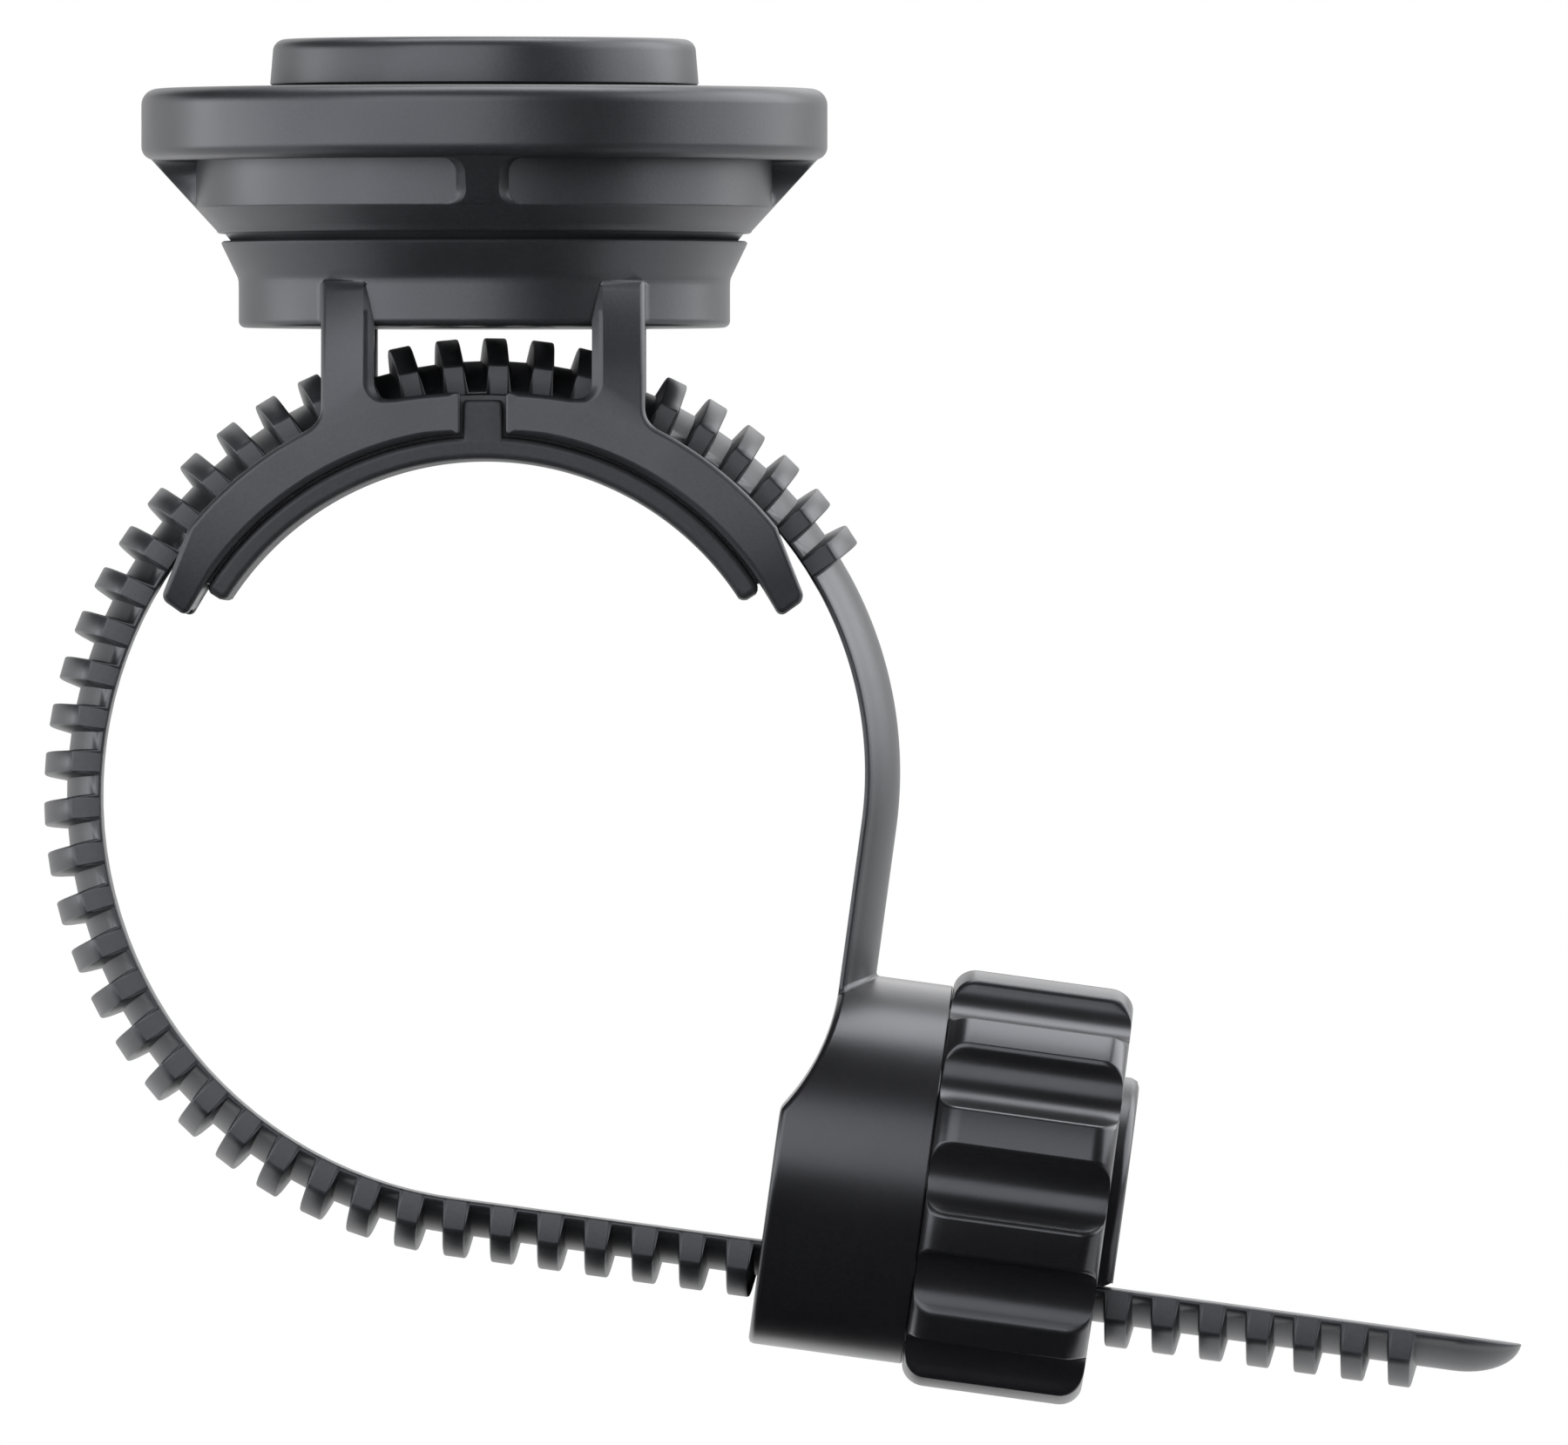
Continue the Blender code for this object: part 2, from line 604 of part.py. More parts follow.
def build_pad():
    """The rubber pad that grips the handlebar, with a tab in each slot of the saddle."""
    turn = math.degrees(PAD_EDGE / PAD_OUTER)
    outline = band_outline(PAD_INNER, PAD_OUTER, PAD_HALF_ANGLE, turn, PAD_EDGE, PAD_EDGE)
    pad = add_object("saddle_pad", plate_mesh("saddle_pad", outline, PAD_WIDTH / 2), "black_rubber")
    buried = (PAD_INNER + PAD_OUTER) / 2
    for name, side in (("front", -1), ("back", 1)):
        ends = sorted((side * PAD_WIDTH / 2, side * (PAD_WIDTH / 2 - TAB_DEPTH)))
        low = (-TAB_WIDTH / 2, ends[0], buried)
        high = (TAB_WIDTH / 2, ends[1], PAD_OUTER + TAB_RISE)
        join(pad, box_mesh("tab_" + name, low, high))


def build_swivel():
    """The slip washer under the head, and the screw, spring washer and nut that hold it."""
    seat = COLLAR_TOP + SWIVEL_GAP - SEAT_GAP
    washer = [
        (SLIP_WASHER_BORE, seat),
        (SLIP_WASHER_RADIUS, seat),
        (SLIP_WASHER_RADIUS, seat - SLIP_WASHER_THICKNESS),
        (SLIP_WASHER_BORE, seat - SLIP_WASHER_THICKNESS),
    ]
    add_object("slip_washer", turned_mesh("slip_washer", washer, TURN_STEPS, True), "black_acetal")

    screw = [
        (0.0, SCREW_TOP),
        (SCREW_RADIUS - SCREW_EDGE, SCREW_TOP),
        (SCREW_RADIUS, SCREW_TOP - SCREW_EDGE),
        (SCREW_RADIUS, SCREW_SHOULDER),
        (SCREW_HEAD_RADIUS, SCREW_SHOULDER),
        (SCREW_HEAD_RADIUS, SCREW_BOTTOM + SCREW_EDGE),
        (SCREW_HEAD_RADIUS - SCREW_EDGE, SCREW_BOTTOM),
        (0.0, SCREW_BOTTOM),
    ]
    bolt = add_object("swivel_screw", turned_mesh("swivel_screw", screw, SMALL_STEPS, False),
                      "zinc_plated_steel", HEAD_AXIS)
    socket_top = SCREW_BOTTOM + SCREW_SOCKET_DEPTH
    socket_mouth = SCREW_BOTTOM - SCREW_EDGE
    cut(bolt, rod_mesh("screw_socket", SCREW_SOCKET_RADIUS, socket_mouth, socket_top, HEXAGON))

    nut_bottom = NUT_POCKET_FLOOR + SEAT_GAP
    corner = NUT_ACROSS_FLATS / math.sqrt(3)
    hexagon = rod_mesh("lock_nut", corner, nut_bottom, nut_bottom + NUT_HEIGHT, HEXAGON)
    nut = add_object("lock_nut", hexagon, "zinc_plated_steel", HEAD_AXIS)
    thread = SCREW_RADIUS + SEAT_GAP
    cut(nut, rod_mesh("nut_bore", thread, nut_bottom - NUT_HEIGHT, nut_bottom + 2 * NUT_HEIGHT))
    add_object("wave_washer", wave_washer_mesh(), "zinc_plated_steel", HEAD_AXIS)


def wave_washer_mesh():
    """A split flat ring bent into waves."""
    inner, outer = SCREW_RADIUS + SEAT_GAP, SCREW_HEAD_RADIUS
    middle = WAVE_WASHER_BOTTOM + WAVE_WASHER_THICKNESS / 2 + WAVE_WASHER_RISE
    half = WAVE_WASHER_THICKNESS / 2
    steps = 2 * SMALL_STEPS
    rings = []
    for i in range(steps + 1):
        degrees = WAVE_WASHER_SPLIT / 2 + (360 - WAVE_WASHER_SPLIT) * i / steps
        height = middle + WAVE_WASHER_RISE * math.cos(math.radians(WAVE_WASHER_WAVES * degrees))
        corners = ((inner, half), (outer, half), (outer, -half), (inner, -half))
        rings.append([(*ring_place(radius, degrees), height + rise) for radius, rise in corners])
    return loft_mesh("wave_washer", rings)


def build_head():
    """The head's body: the flange, the ribbed cone and the spigot that turns in the collar."""
    round_radius, round_height = FLANGE_RADIUS - FLANGE_ROUND, FLANGE_TOP - FLANGE_ROUND
    top_round = arc(round_radius, round_height, FLANGE_ROUND, 90, 0, ROUND_STEPS)
    profile = [(CAVITY_RADIUS, FLANGE_TOP)] + top_round + [
        (FLANGE_RADIUS, FLANGE_UNDER + FLANGE_CHAMFER),
        (CONE_TOP_RADIUS, FLANGE_UNDER),
        (CONE_RADIUS, HEAD_BOTTOM + CONE_EDGE),
        (CONE_RADIUS - CONE_EDGE, HEAD_BOTTOM),
        (SPIGOT_RADIUS, HEAD_BOTTOM),
        (SPIGOT_RADIUS, SPIGOT_BOTTOM),
        (SCREW_RADIUS + SEAT_GAP, SPIGOT_BOTTOM),
        (SCREW_RADIUS + SEAT_GAP, CAVITY_FLOOR),
        (CAVITY_RADIUS, CAVITY_FLOOR),
    ]
    head = add_object("head_body", turned_mesh("head_body", profile, TURN_STEPS, True),
                      "charcoal_nylon", HEAD_AXIS)
    for i in range(RIB_COUNT):
        cut(head, pocket_mesh("cone_pocket_" + str(i + 1), 360 * i / RIB_COUNT))
    corner = (NUT_ACROSS_FLATS / 2 + SEAT_GAP) * 2 / math.sqrt(3)
    cut(head, rod_mesh("nut_pocket", corner, NUT_POCKET_FLOOR, CAVITY_FLOOR + NUT_HEIGHT, HEXAGON))
    for i in range(MAGNET_PAIRS):
        x, y = cap_post_place(i)
        shank = CAP_SCREW_RADIUS + SEAT_GAP
        recess = CAP_SCREW_HEAD_RADIUS + SEAT_GAP
        number = str(i + 1)
        mouth = SPIGOT_BOTTOM - SPIGOT_DEPTH
        hole = rod_mesh("cap_screw_hole_" + number, shank, SPIGOT_BOTTOM, CAVITY_FLOOR + HEAD_FLOOR)
        well = rod_mesh("cap_screw_well_" + number, recess, mouth, CAP_SCREW_SEAT)
        cut(head, moved(hole, x, y))
        cut(head, moved(well, x, y))


def pocket_mesh(name, rib_angle):
    """The space of one pocket between a rib and the next; the ribs thicken towards the axis."""
    outside = FLANGE_RADIUS
    rib_inner = math.degrees(RIB_BACK_WIDTH / 2 / POCKET_RADIUS)
    rib_outer = math.degrees(RIB_FRONT_WIDTH / 2 / CONE_TOP_RADIUS)
    bottom, top = HEAD_BOTTOM + CONE_EDGE, FLANGE_UNDER - POCKET_TOP
    span = 360 / RIB_COUNT
    steps = round(TURN_STEPS / RIB_COUNT)
    rings = []
    for i in range(steps + 1):
        inner_angle = rib_angle + rib_inner + (span - 2 * rib_inner) * i / steps
        outer_angle = rib_angle + rib_outer + (span - 2 * rib_outer) * i / steps
        inner = ring_place(POCKET_RADIUS, inner_angle)
        outer = ring_place(outside, outer_angle)
        rings.append([(*inner, top), (*outer, top), (*outer, bottom), (*inner, bottom)])
    return loft_mesh(name, rings)


def cap_post_place(i):
    """Where one of the cap's screw posts stands, midway between two pairs of magnets."""
    return ring_place(CAP_POST_CIRCLE, 360 * (i + 0.5) / MAGNET_PAIRS)


def magnet_places():
    """Where the magnets sit: pairs spread about a circle."""
    middles = [360 * i / MAGNET_PAIRS for i in range(MAGNET_PAIRS)]
    return [ring_place(MAGNET_CIRCLE, m + side * MAGNET_SPREAD) for m in middles for side in (-1, 1)]


def build_cap():
    """The boss cap with its magnets, the steel yoke behind them and the screws that hold it."""
    skirt_bottom = YOKE_BOTTOM - SEAT_GAP
    top_radius = BOSS_RADIUS - BOSS_DRAFT
    profile = [(0.0, BOSS_TOP)]
    profile += arc(top_radius - BOSS_ROUND, BOSS_TOP - BOSS_ROUND, BOSS_ROUND, 90, 0, ROUND_STEPS)
    profile += [
        (BOSS_RADIUS, BOSS_BOTTOM),
        (CAP_SKIRT_RADIUS, BOSS_BOTTOM),
        (CAP_SKIRT_RADIUS, skirt_bottom),
        (CAP_RECESS, skirt_bottom),
        (CAP_RECESS, CAP_CEILING),
        (0.0, CAP_CEILING),
    ]
    cap = add_object("boss_cap", turned_mesh("boss_cap", profile, TURN_STEPS, False),
                     "charcoal_nylon", HEAD_AXIS)
    disc = rod_mesh("yoke_plate", CAP_RECESS - SEAT_GAP, YOKE_BOTTOM, YOKE_TOP, TURN_STEPS)
    yoke = add_object("yoke_plate", disc, "nickel_plate", HEAD_AXIS)
    for i, (x, y) in enumerate(magnet_places()):
        number = str(i + 1)
        space = rod_mesh("magnet_pocket_" + number, MAGNET_RADIUS + SEAT_GAP,
                         CAP_CEILING - YOKE_THICKNESS, MAGNET_TOP + SEAT_GAP)
        cut(cap, moved(space, x, y))
        magnet = rod_mesh("magnet_" + number, MAGNET_RADIUS, MAGNET_BOTTOM, MAGNET_TOP)
        add_object("magnet_" + number, moved(magnet, x, y), "nickel_plate", HEAD_AXIS)
    for i in range(MAGNET_PAIRS):
        build_cap_screw(cap, yoke, i)


def build_cap_screw(cap, yoke, i):
    """One screw post under the cap, its hole in the yoke and its screw from below."""
    x, y = cap_post_place(i)
    number = str(i + 1)
    post = rod_mesh("cap_post_" + number, CAP_POST_RADIUS, CAP_POST_BOTTOM, CAP_CEILING + SEAT_GAP)
    join(cap, moved(post, x, y))
    screw_top = CAP_SCREW_SEAT + CAP_SCREW_LENGTH
    pilot = rod_mesh("cap_pilot_" + number, CAP_SCREW_RADIUS + SEAT_GAP,
                     CAP_POST_BOTTOM - SEAT_GAP, screw_top + SEAT_GAP)
    cut(cap, moved(pilot, x, y))
    hole = rod_mesh("yoke_hole_" + number, CAP_POST_RADIUS + SEAT_GAP,
                    YOKE_BOTTOM - YOKE_THICKNESS, YOKE_TOP + YOKE_THICKNESS)
    cut(yoke, moved(hole, x, y))
    head_bottom = CAP_SCREW_SEAT - SEAT_GAP - CAP_SCREW_HEAD_HEIGHT
    profile = [
        (0.0, screw_top),
        (CAP_SCREW_RADIUS / 2, screw_top),
        (CAP_SCREW_RADIUS, screw_top - CAP_SCREW_RADIUS),
        (CAP_SCREW_RADIUS, CAP_SCREW_SEAT - SEAT_GAP),
        (CAP_SCREW_HEAD_RADIUS, CAP_SCREW_SEAT - SEAT_GAP),
        (CAP_SCREW_HEAD_RADIUS, head_bottom),
        (0.0, head_bottom),
    ]
    name = "cap_screw_" + number
    screw = moved(turned_mesh(name, profile, SMALL_STEPS, False), x, y)
    add_object(name, screw, "zinc_plated_steel", HEAD_AXIS)


def path_frame(s):
    """A point on the strap's inner face and the outward normal there.

    s is the distance along the teeth: 0 where the tail leaves the loop, positive along the
    tail, negative back round the loop and down the neck.
    """
    if s >= 0:
        return TAIL_START + ALONG * s, -ACROSS
    for start, (end, pitch_radius) in zip(LOOP_ENDS, LOOP_STRETCHES):
        length = pitch_radius * math.radians(start - end)
        if s >= -length:
            normal = direction(start + math.degrees(s / pitch_radius))
            if end >= JOIN_ANGLE:
                return LEFT_CENTRE + normal * LEFT_RADIUS, normal
            return TOP_CENTRE + normal * TOP_RADIUS, normal
        s += length
    return TOP_CENTRE + ALONG * TOP_RADIUS + ACROSS * s, ALONG


def crown_height(y, radius):
    """Thickness of the strap at a distance from its middle, for a round of a given radius."""
    reach = math.sqrt(max(radius ** 2 - y ** 2, 0.0))
    return max(reach - AXIS_HEIGHT, STRAP_EDGE)


def strap_ring(s, radius, skewed, width=1.0, thickness=1.0):
    """One section across the strap; teeth are skewed to the screw thread's helix."""
    half = width * STRAP_WIDTH / 2
    points = [(-half, 0.0), (half, 0.0)]
    for i in range(STRAP_STEPS + 1):
        share = 1 - 2 * i / STRAP_STEPS
        points.append((share * half, thickness * crown_height(share * STRAP_WIDTH / 2, radius)))
    ring = []
    for y, height in points:
        lead = TOOTH_PITCH * math.atan2(y, AXIS_HEIGHT + height) / (2 * math.pi) if skewed else 0.0
        inner, normal = path_frame(s + lead)
        place = inner + normal * height
        ring.append((place.x, y, place.z))
    return ring


def build_strap():
    """The strap: a toothed band with a pointed tail, and a plain neck down to the clamp."""
    root = AXIS_HEIGHT + ROOT_THICKNESS
    rings = [strap_ring(BAND_START, root, False)]
    for k in range(FIRST_TOOTH, TAIL_TEETH + 1):
        middle = TOOTH_PHASE + k * TOOTH_PITCH
        rings.append(strap_ring(middle - TOOTH_BASE / 2, root, True))
        rings.append(strap_ring(middle - TOOTH_CROWN / 2, CROWN_RADIUS, True))
        rings.append(strap_ring(middle + TOOTH_CROWN / 2, CROWN_RADIUS, True))
        rings.append(strap_ring(middle + TOOTH_BASE / 2, root, True))
    rings.append(strap_ring(TIP_START, root, False))
    blunt = TIP_WIDTH / STRAP_WIDTH
    for share in TIP_STATIONS:
        fall = math.sqrt(1 - share ** 2)
        place = TIP_START + TIP_PLAIN + TIP_TAPER * share
        rings.append(strap_ring(place, root, False, blunt + (1 - blunt) * fall, fall))
    add_object("strap_band", loft_mesh("strap_band", rings), "charcoal_nylon", STRAP_AXIS)

    top = BAND_START - SEAT_GAP
    bend_end = -LOOP_LENGTH
    block_top = (TOP_CENTRE - TAIL_START).dot(ACROSS) - AXIS_HEIGHT - BLOCK_RADIUS
    bottom = bend_end - block_top - BLOCK_WALL
    stations = [top + (bend_end - top) * i / NECK_STEPS for i in range(NECK_STEPS + 1)] + [bottom]
    neck = loft_mesh("strap_neck", [strap_ring(s, root, False) for s in stations])
    piece = add_object("strap_neck", neck, "charcoal_nylon", STRAP_AXIS)
    cut(piece, rod_mesh("block_seat", BLOCK_RADIUS + SEAT_GAP, BLOCK_START - BLOCK_LEAD,
                        BLOCK_END + BLOCK_TRAIL, TURN_STEPS), SCREW_AXIS, True)


def build_clamp():
    """The clamp block with the core and the collet that carry the knob."""
    ring_groove = COLLET_OUTER - RING_DEPTH
    groove_low = RING_MIDDLE - RING_HEIGHT / 2 - SEAT_GAP
    groove_high = RING_MIDDLE + RING_HEIGHT / 2 + SEAT_GAP
    profile = [
        (0.0, CORE_END),
        (CORE_RADIUS - CORE_EDGE, CORE_END),
        (CORE_RADIUS, CORE_END - CORE_EDGE),
        (CORE_RADIUS, BLOCK_END),
        (COLLET_INNER, BLOCK_END),
        (COLLET_INNER, COLLET_END),
        (COLLET_OUTER, COLLET_END),
        (COLLET_OUTER, groove_high),
        (ring_groove, groove_high),
        (ring_groove, groove_low),
        (COLLET_OUTER, groove_low),
        (COLLET_OUTER, BLOCK_END),
        (BLOCK_RADIUS - BLOCK_EDGE, BLOCK_END),
        (BLOCK_RADIUS, BLOCK_END - BLOCK_EDGE),
        (BLOCK_RADIUS, BLOCK_START + BLOCK_EDGE),
        (BLOCK_RADIUS - BLOCK_EDGE, BLOCK_START),
        (0.0, BLOCK_START),
    ]
    block = add_object("clamp_block", turned_mesh("clamp_block", profile, TURN_STEPS, False),
                       "black_nylon", SCREW_AXIS, True)
    cut(block, tunnel_mesh(), SCREW_AXIS, True)
    scallop = rod_mesh("scallop", SCALLOP_RADIUS, -2 * BLOCK_RADIUS, 2 * BLOCK_RADIUS, SCALLOP_STEPS)
    scallop.transform(Matrix.Rotation(math.pi / 2, 4, "X"))
    middle_x = SCALLOP_DROP - BLOCK_RADIUS
    cut(block, moved(scallop, middle_x, 0.0, NECK_T - SCALLOP_RADIUS), SCREW_AXIS, True)
    add_object("knob_snap_ring", snap_ring_mesh(), "zinc_plated_steel", SCREW_AXIS, True)


def tunnel_mesh():
    """The way through the block and beside the core for the strap: flat inside, round outside."""
    half = STRAP_WIDTH / 2 + RUN_GAP
    flat = AXIS_HEIGHT - RUN_GAP
    reach = math.degrees(math.asin(half / THREAD_MAJOR))
    section = [(flat, -half)] + arc(0, 0, THREAD_MAJOR, -reach, reach, STRAP_STEPS) + [(flat, half)]
    ends = (BLOCK_START - BLOCK_LEAD, CORE_END + CORE_PROUD)
    return loft_mesh("tunnel", [[(x, y, z) for x, y in section] for z in ends])


def snap_ring_mesh():
    """A split ring that sits half in the collet's groove and half in the knob's."""
    inner = COLLET_OUTER - RING_DEPTH + SEAT_GAP
    outer = COLLET_OUTER + RING_DEPTH - SEAT_GAP + RUN_GAP
    low, high = RING_MIDDLE - RING_HEIGHT / 2, RING_MIDDLE + RING_HEIGHT / 2
    rings = []
    for i in range(TURN_STEPS + 1):
        degrees = RING_SPLIT / 2 + (360 - RING_SPLIT) * i / TURN_STEPS
        corners = ((inner, high), (outer, high), (outer, low), (inner, low))
        rings.append([(*ring_place(radius, degrees), height) for radius, height in corners])
    return loft_mesh("knob_snap_ring", rings)


def flute_depth_radius(degrees):
    """Radius of the knob's outside at an angle from a flute's middle, before its ends are rounded."""
    aside = FLUTE_CENTRE * math.sin(math.radians(degrees))
    if abs(aside) >= FLUTE_RADIUS:
        return KNOB_RADIUS
    return FLUTE_CENTRE * math.cos(math.radians(degrees)) - math.sqrt(FLUTE_RADIUS ** 2 - aside ** 2)


def knob_ring(inset):
    """A section of the knob's outside, a given distance in from its nearer end."""
    depth = KNOB_ROUND - min(inset, KNOB_ROUND)
    ridge = KNOB_RADIUS - KNOB_ROUND + math.sqrt(KNOB_ROUND ** 2 - depth ** 2)
    ring = []
    for i in range(FLUTE_COUNT):
        for aside in FLUTE_ANGLES:
            radius = min(ridge, flute_depth_radius(aside))
            ring.append(ring_place(radius, 360 * i / FLUTE_COUNT + aside))
    return ring


def build_knob():
    """The fluted knob, with its thread for the strap and a groove for the snap ring."""
    insets = [share * KNOB_ROUND for share in KNOB_STATIONS]
    heights = [(KNOB_START + inset, inset) for inset in insets]
    heights += [(KNOB_END - inset, inset) for inset in reversed(insets)]
    rings = [[(x, y, height) for x, y in knob_ring(inset)] for height, inset in heights]
    knob = add_object("knob", loft_mesh("knob", rings), "black_nylon", SCREW_AXIS, True)

    sleeve = COLLET_OUTER + RUN_GAP
    groove = COLLET_OUTER + RING_DEPTH + RUN_GAP
    groove_low = RING_MIDDLE - RING_HEIGHT / 2 - SEAT_GAP
    groove_high = RING_MIDDLE + RING_HEIGHT / 2 + SEAT_GAP
    shoulder = COLLET_END + RUN_GAP
    bore = [
        (0.0, KNOB_END + KNOB_GAP),
        (THREAD_MAJOR, KNOB_END + KNOB_GAP),
        (THREAD_MAJOR, shoulder),
        (sleeve, shoulder),
        (sleeve, groove_high),
        (groove, groove_high),
        (groove, groove_low),
        (sleeve, groove_low),
        (sleeve, KNOB_START - KNOB_GAP),
        (0.0, KNOB_START - KNOB_GAP),
    ]
    cut(knob, turned_mesh("knob_bore", bore, TURN_STEPS, False), SCREW_AXIS, True)
    join(knob, thread_mesh(shoulder), SCREW_AXIS, True)


def thread_mesh(shoulder):
    """The ridge of the knob's right-handed thread, which lies between the strap's teeth."""
    buried = THREAD_MAJOR + THREAD_SEAT
    slope = (TOOTH_BASE - TOOTH_CROWN) / TOOTH_HEIGHT
    root = AXIS_HEIGHT + ROOT_THICKNESS
    rooms = []
    for radius in (THREAD_MINOR, buried):
        tooth = TOOTH_BASE - slope * (radius - root)
        rooms.append((TOOTH_PITCH - tooth) / 2 - FLANK_GAP)
    tip, base = rooms
    low, high = shoulder + base, KNOB_END - base
    # Ridges cross the strap's middle halfway between two teeth
    first = TOOTH_PHASE + TOOTH_PITCH / 2
    start = (low - first) / TOOTH_PITCH
    end = (high - first) / TOOTH_PITCH
    steps = math.floor((end - start) * THREAD_STEPS)
    rings = []
    for i in range(steps + 1):
        turns = start + i / THREAD_STEPS
        height = first + turns * TOOTH_PITCH
        inner = ring_place(THREAD_MINOR, 360 * turns)
        outer = ring_place(buried, 360 * turns)
        rings.append([(*inner, height - tip), (*inner, height + tip),
                      (*outer, height + base), (*outer, height - base)])
    return loft_mesh("knob_thread", rings)


build_bracket()
build_pad()
build_swivel()
build_head()
build_cap()
build_strap()
build_clamp()
build_knob()
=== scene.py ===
import logging
import math
from dataclasses import dataclass, field
from enum import Enum
from typing import Sequence

import bmesh
import bpy
from mathutils import Matrix, Vector


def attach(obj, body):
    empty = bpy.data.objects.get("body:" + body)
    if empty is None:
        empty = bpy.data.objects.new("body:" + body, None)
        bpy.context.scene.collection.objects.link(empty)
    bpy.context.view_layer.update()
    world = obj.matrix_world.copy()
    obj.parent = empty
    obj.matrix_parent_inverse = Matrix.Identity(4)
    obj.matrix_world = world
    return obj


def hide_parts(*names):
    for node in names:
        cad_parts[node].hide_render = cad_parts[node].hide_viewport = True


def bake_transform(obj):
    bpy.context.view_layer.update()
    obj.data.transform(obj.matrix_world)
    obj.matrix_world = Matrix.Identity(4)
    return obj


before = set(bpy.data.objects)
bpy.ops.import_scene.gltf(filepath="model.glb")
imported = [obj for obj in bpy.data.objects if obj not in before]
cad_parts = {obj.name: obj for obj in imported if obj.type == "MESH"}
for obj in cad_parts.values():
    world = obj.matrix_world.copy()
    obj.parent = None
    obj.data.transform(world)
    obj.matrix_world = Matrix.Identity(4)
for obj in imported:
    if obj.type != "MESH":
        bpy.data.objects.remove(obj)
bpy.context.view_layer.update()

LOG = logging.getLogger("phone_handlebar_mount")

# Meshes are drawn in millimetres and end in metres
MM = 0.001
WELD = 0.0015
CREASE_ANGLE = 50.0
# Weight of broad faces over narrow ones where normals are evened
BROAD_WEIGHT = 90
# Inset of a bevel's middle row, as a share of the bevel: round on even bevels, flat on wide chamfers
ROUND_SHARE = 0.29
FLAT_SHARE = 0.5
# Width less depth from which a bevel is a wide chamfer
CHAMFER_EXCESS = 0.05
# Longest mitre at a sharp corner is one over this
MITRE_LIMIT = 0.4
# How far cutting tools reach past what they cut
OVERCUT = 1.0
# Steps of a moulded round, and sides of a nut's pocket and of round holes by their size
ROUND_STEPS = 8
NUT_SIDES = 6
SMALL_SIDES = 24
HOLE_SIDES = 32
POCKET_SIDES = 40
# Noise lies mostly between these values, and two noises multiplied between the other two
NOISE_RANGE = (0.3, 0.7)
FLECK_RANGE = (0.1, 0.4)

Point = tuple[float, float]
Ring = list[Vector]
Loop = Sequence[bmesh.types.BMVert]


class Body(Enum):
    """The bodies of the frame that pieces ride on."""

    BRACKET = "bracket"
    HEAD = "head"
    STRAP = "strap"
    CLAMP = "clamp"
    KNOB = "knob"


class Slot(Enum):
    """The material slots of the record."""

    CHARCOAL_NYLON = "charcoal_nylon"
    BLACK_NYLON = "black_nylon"
    BLACK_RUBBER = "black_rubber"
    BLACK_ACETAL = "black_acetal"
    ZINC = "zinc_plated_steel"
    NICKEL = "nickel_plate"


def linear(hex_colour: str) -> tuple[float, float, float, float]:
    """Turn an sRGB hex colour into linear light.

    Args:
        hex_colour: A colour such as "#26272A".

    Returns:
        Red, green, blue and an alpha of 1.
    """
    shares = [int(hex_colour[i:i + 2], 16) / 255 for i in (1, 3, 5)]
    red, green, blue = [s / 12.92 if s <= 0.04045 else ((s + 0.055) / 1.055) ** 2.4 for s in shares]
    return red, green, blue, 1.0


def add_node(tree: bpy.types.NodeTree, kind: str, inputs: dict | None = None, **settings) -> bpy.types.Node:
    """Add one node with its settings, values and links.

    Args:
        tree: The node tree that takes the node.
        kind: The node's type name.
        inputs: A value or an output socket for each input, by name or number.
        settings: Attributes of the node itself.

    Returns:
        The new node.
    """
    node = tree.nodes.new(kind)
    for name, value in settings.items():
        setattr(node, name, value)
    for name, value in (inputs or {}).items():
        if isinstance(value, bpy.types.NodeSocket):
            tree.links.new(value, node.inputs[name])
        else:
            node.inputs[name].default_value = value
    return node


def per_metre(size_mm: float) -> float:
    """Texture scale that gives one pattern cell for each size in millimetres."""
    return 1 / (size_mm * MM)


def new_material(name: str) -> tuple[bpy.types.Material, bpy.types.Node]:
    """Start a material.

    Args:
        name: Its name.

    Returns:
        The material and its main shader.
    """
    material = bpy.data.materials.new(name)
    material.use_nodes = True
    return material, material.node_tree.nodes["Principled BSDF"]


@dataclass(frozen=True)
class Finish:
    """A colour, and a gloss and a relief that vary over the surface."""

    name: str
    colour: str
    smooth: float
    dull: float

    def surface(self, tree: bpy.types.NodeTree, patch: bpy.types.NodeSocket, grain: bpy.types.NodeSocket,
                strength: float, depth_mm: float) -> None:
        """Give the main shader its gloss and its relief.

        Args:
            tree: The material's nodes.
            patch: Noise that the gloss follows.
            grain: Noise that the relief follows.
            strength: Strength of the relief.
            depth_mm: Depth of the relief.
        """
        shader = tree.nodes["Principled BSDF"]
        low, high = NOISE_RANGE
        gloss = add_node(tree, "ShaderNodeMapRange",
                         {"Value": patch, "From Min": low, "From Max": high,
                          "To Min": self.smooth, "To Max": self.dull})
        tree.links.new(gloss.outputs[0], shader.inputs["Roughness"])
        bump = add_node(tree, "ShaderNodeBump",
                        {"Height": grain, "Strength": strength, "Distance": depth_mm * MM})
        tree.links.new(bump.outputs[0], shader.inputs["Normal"])


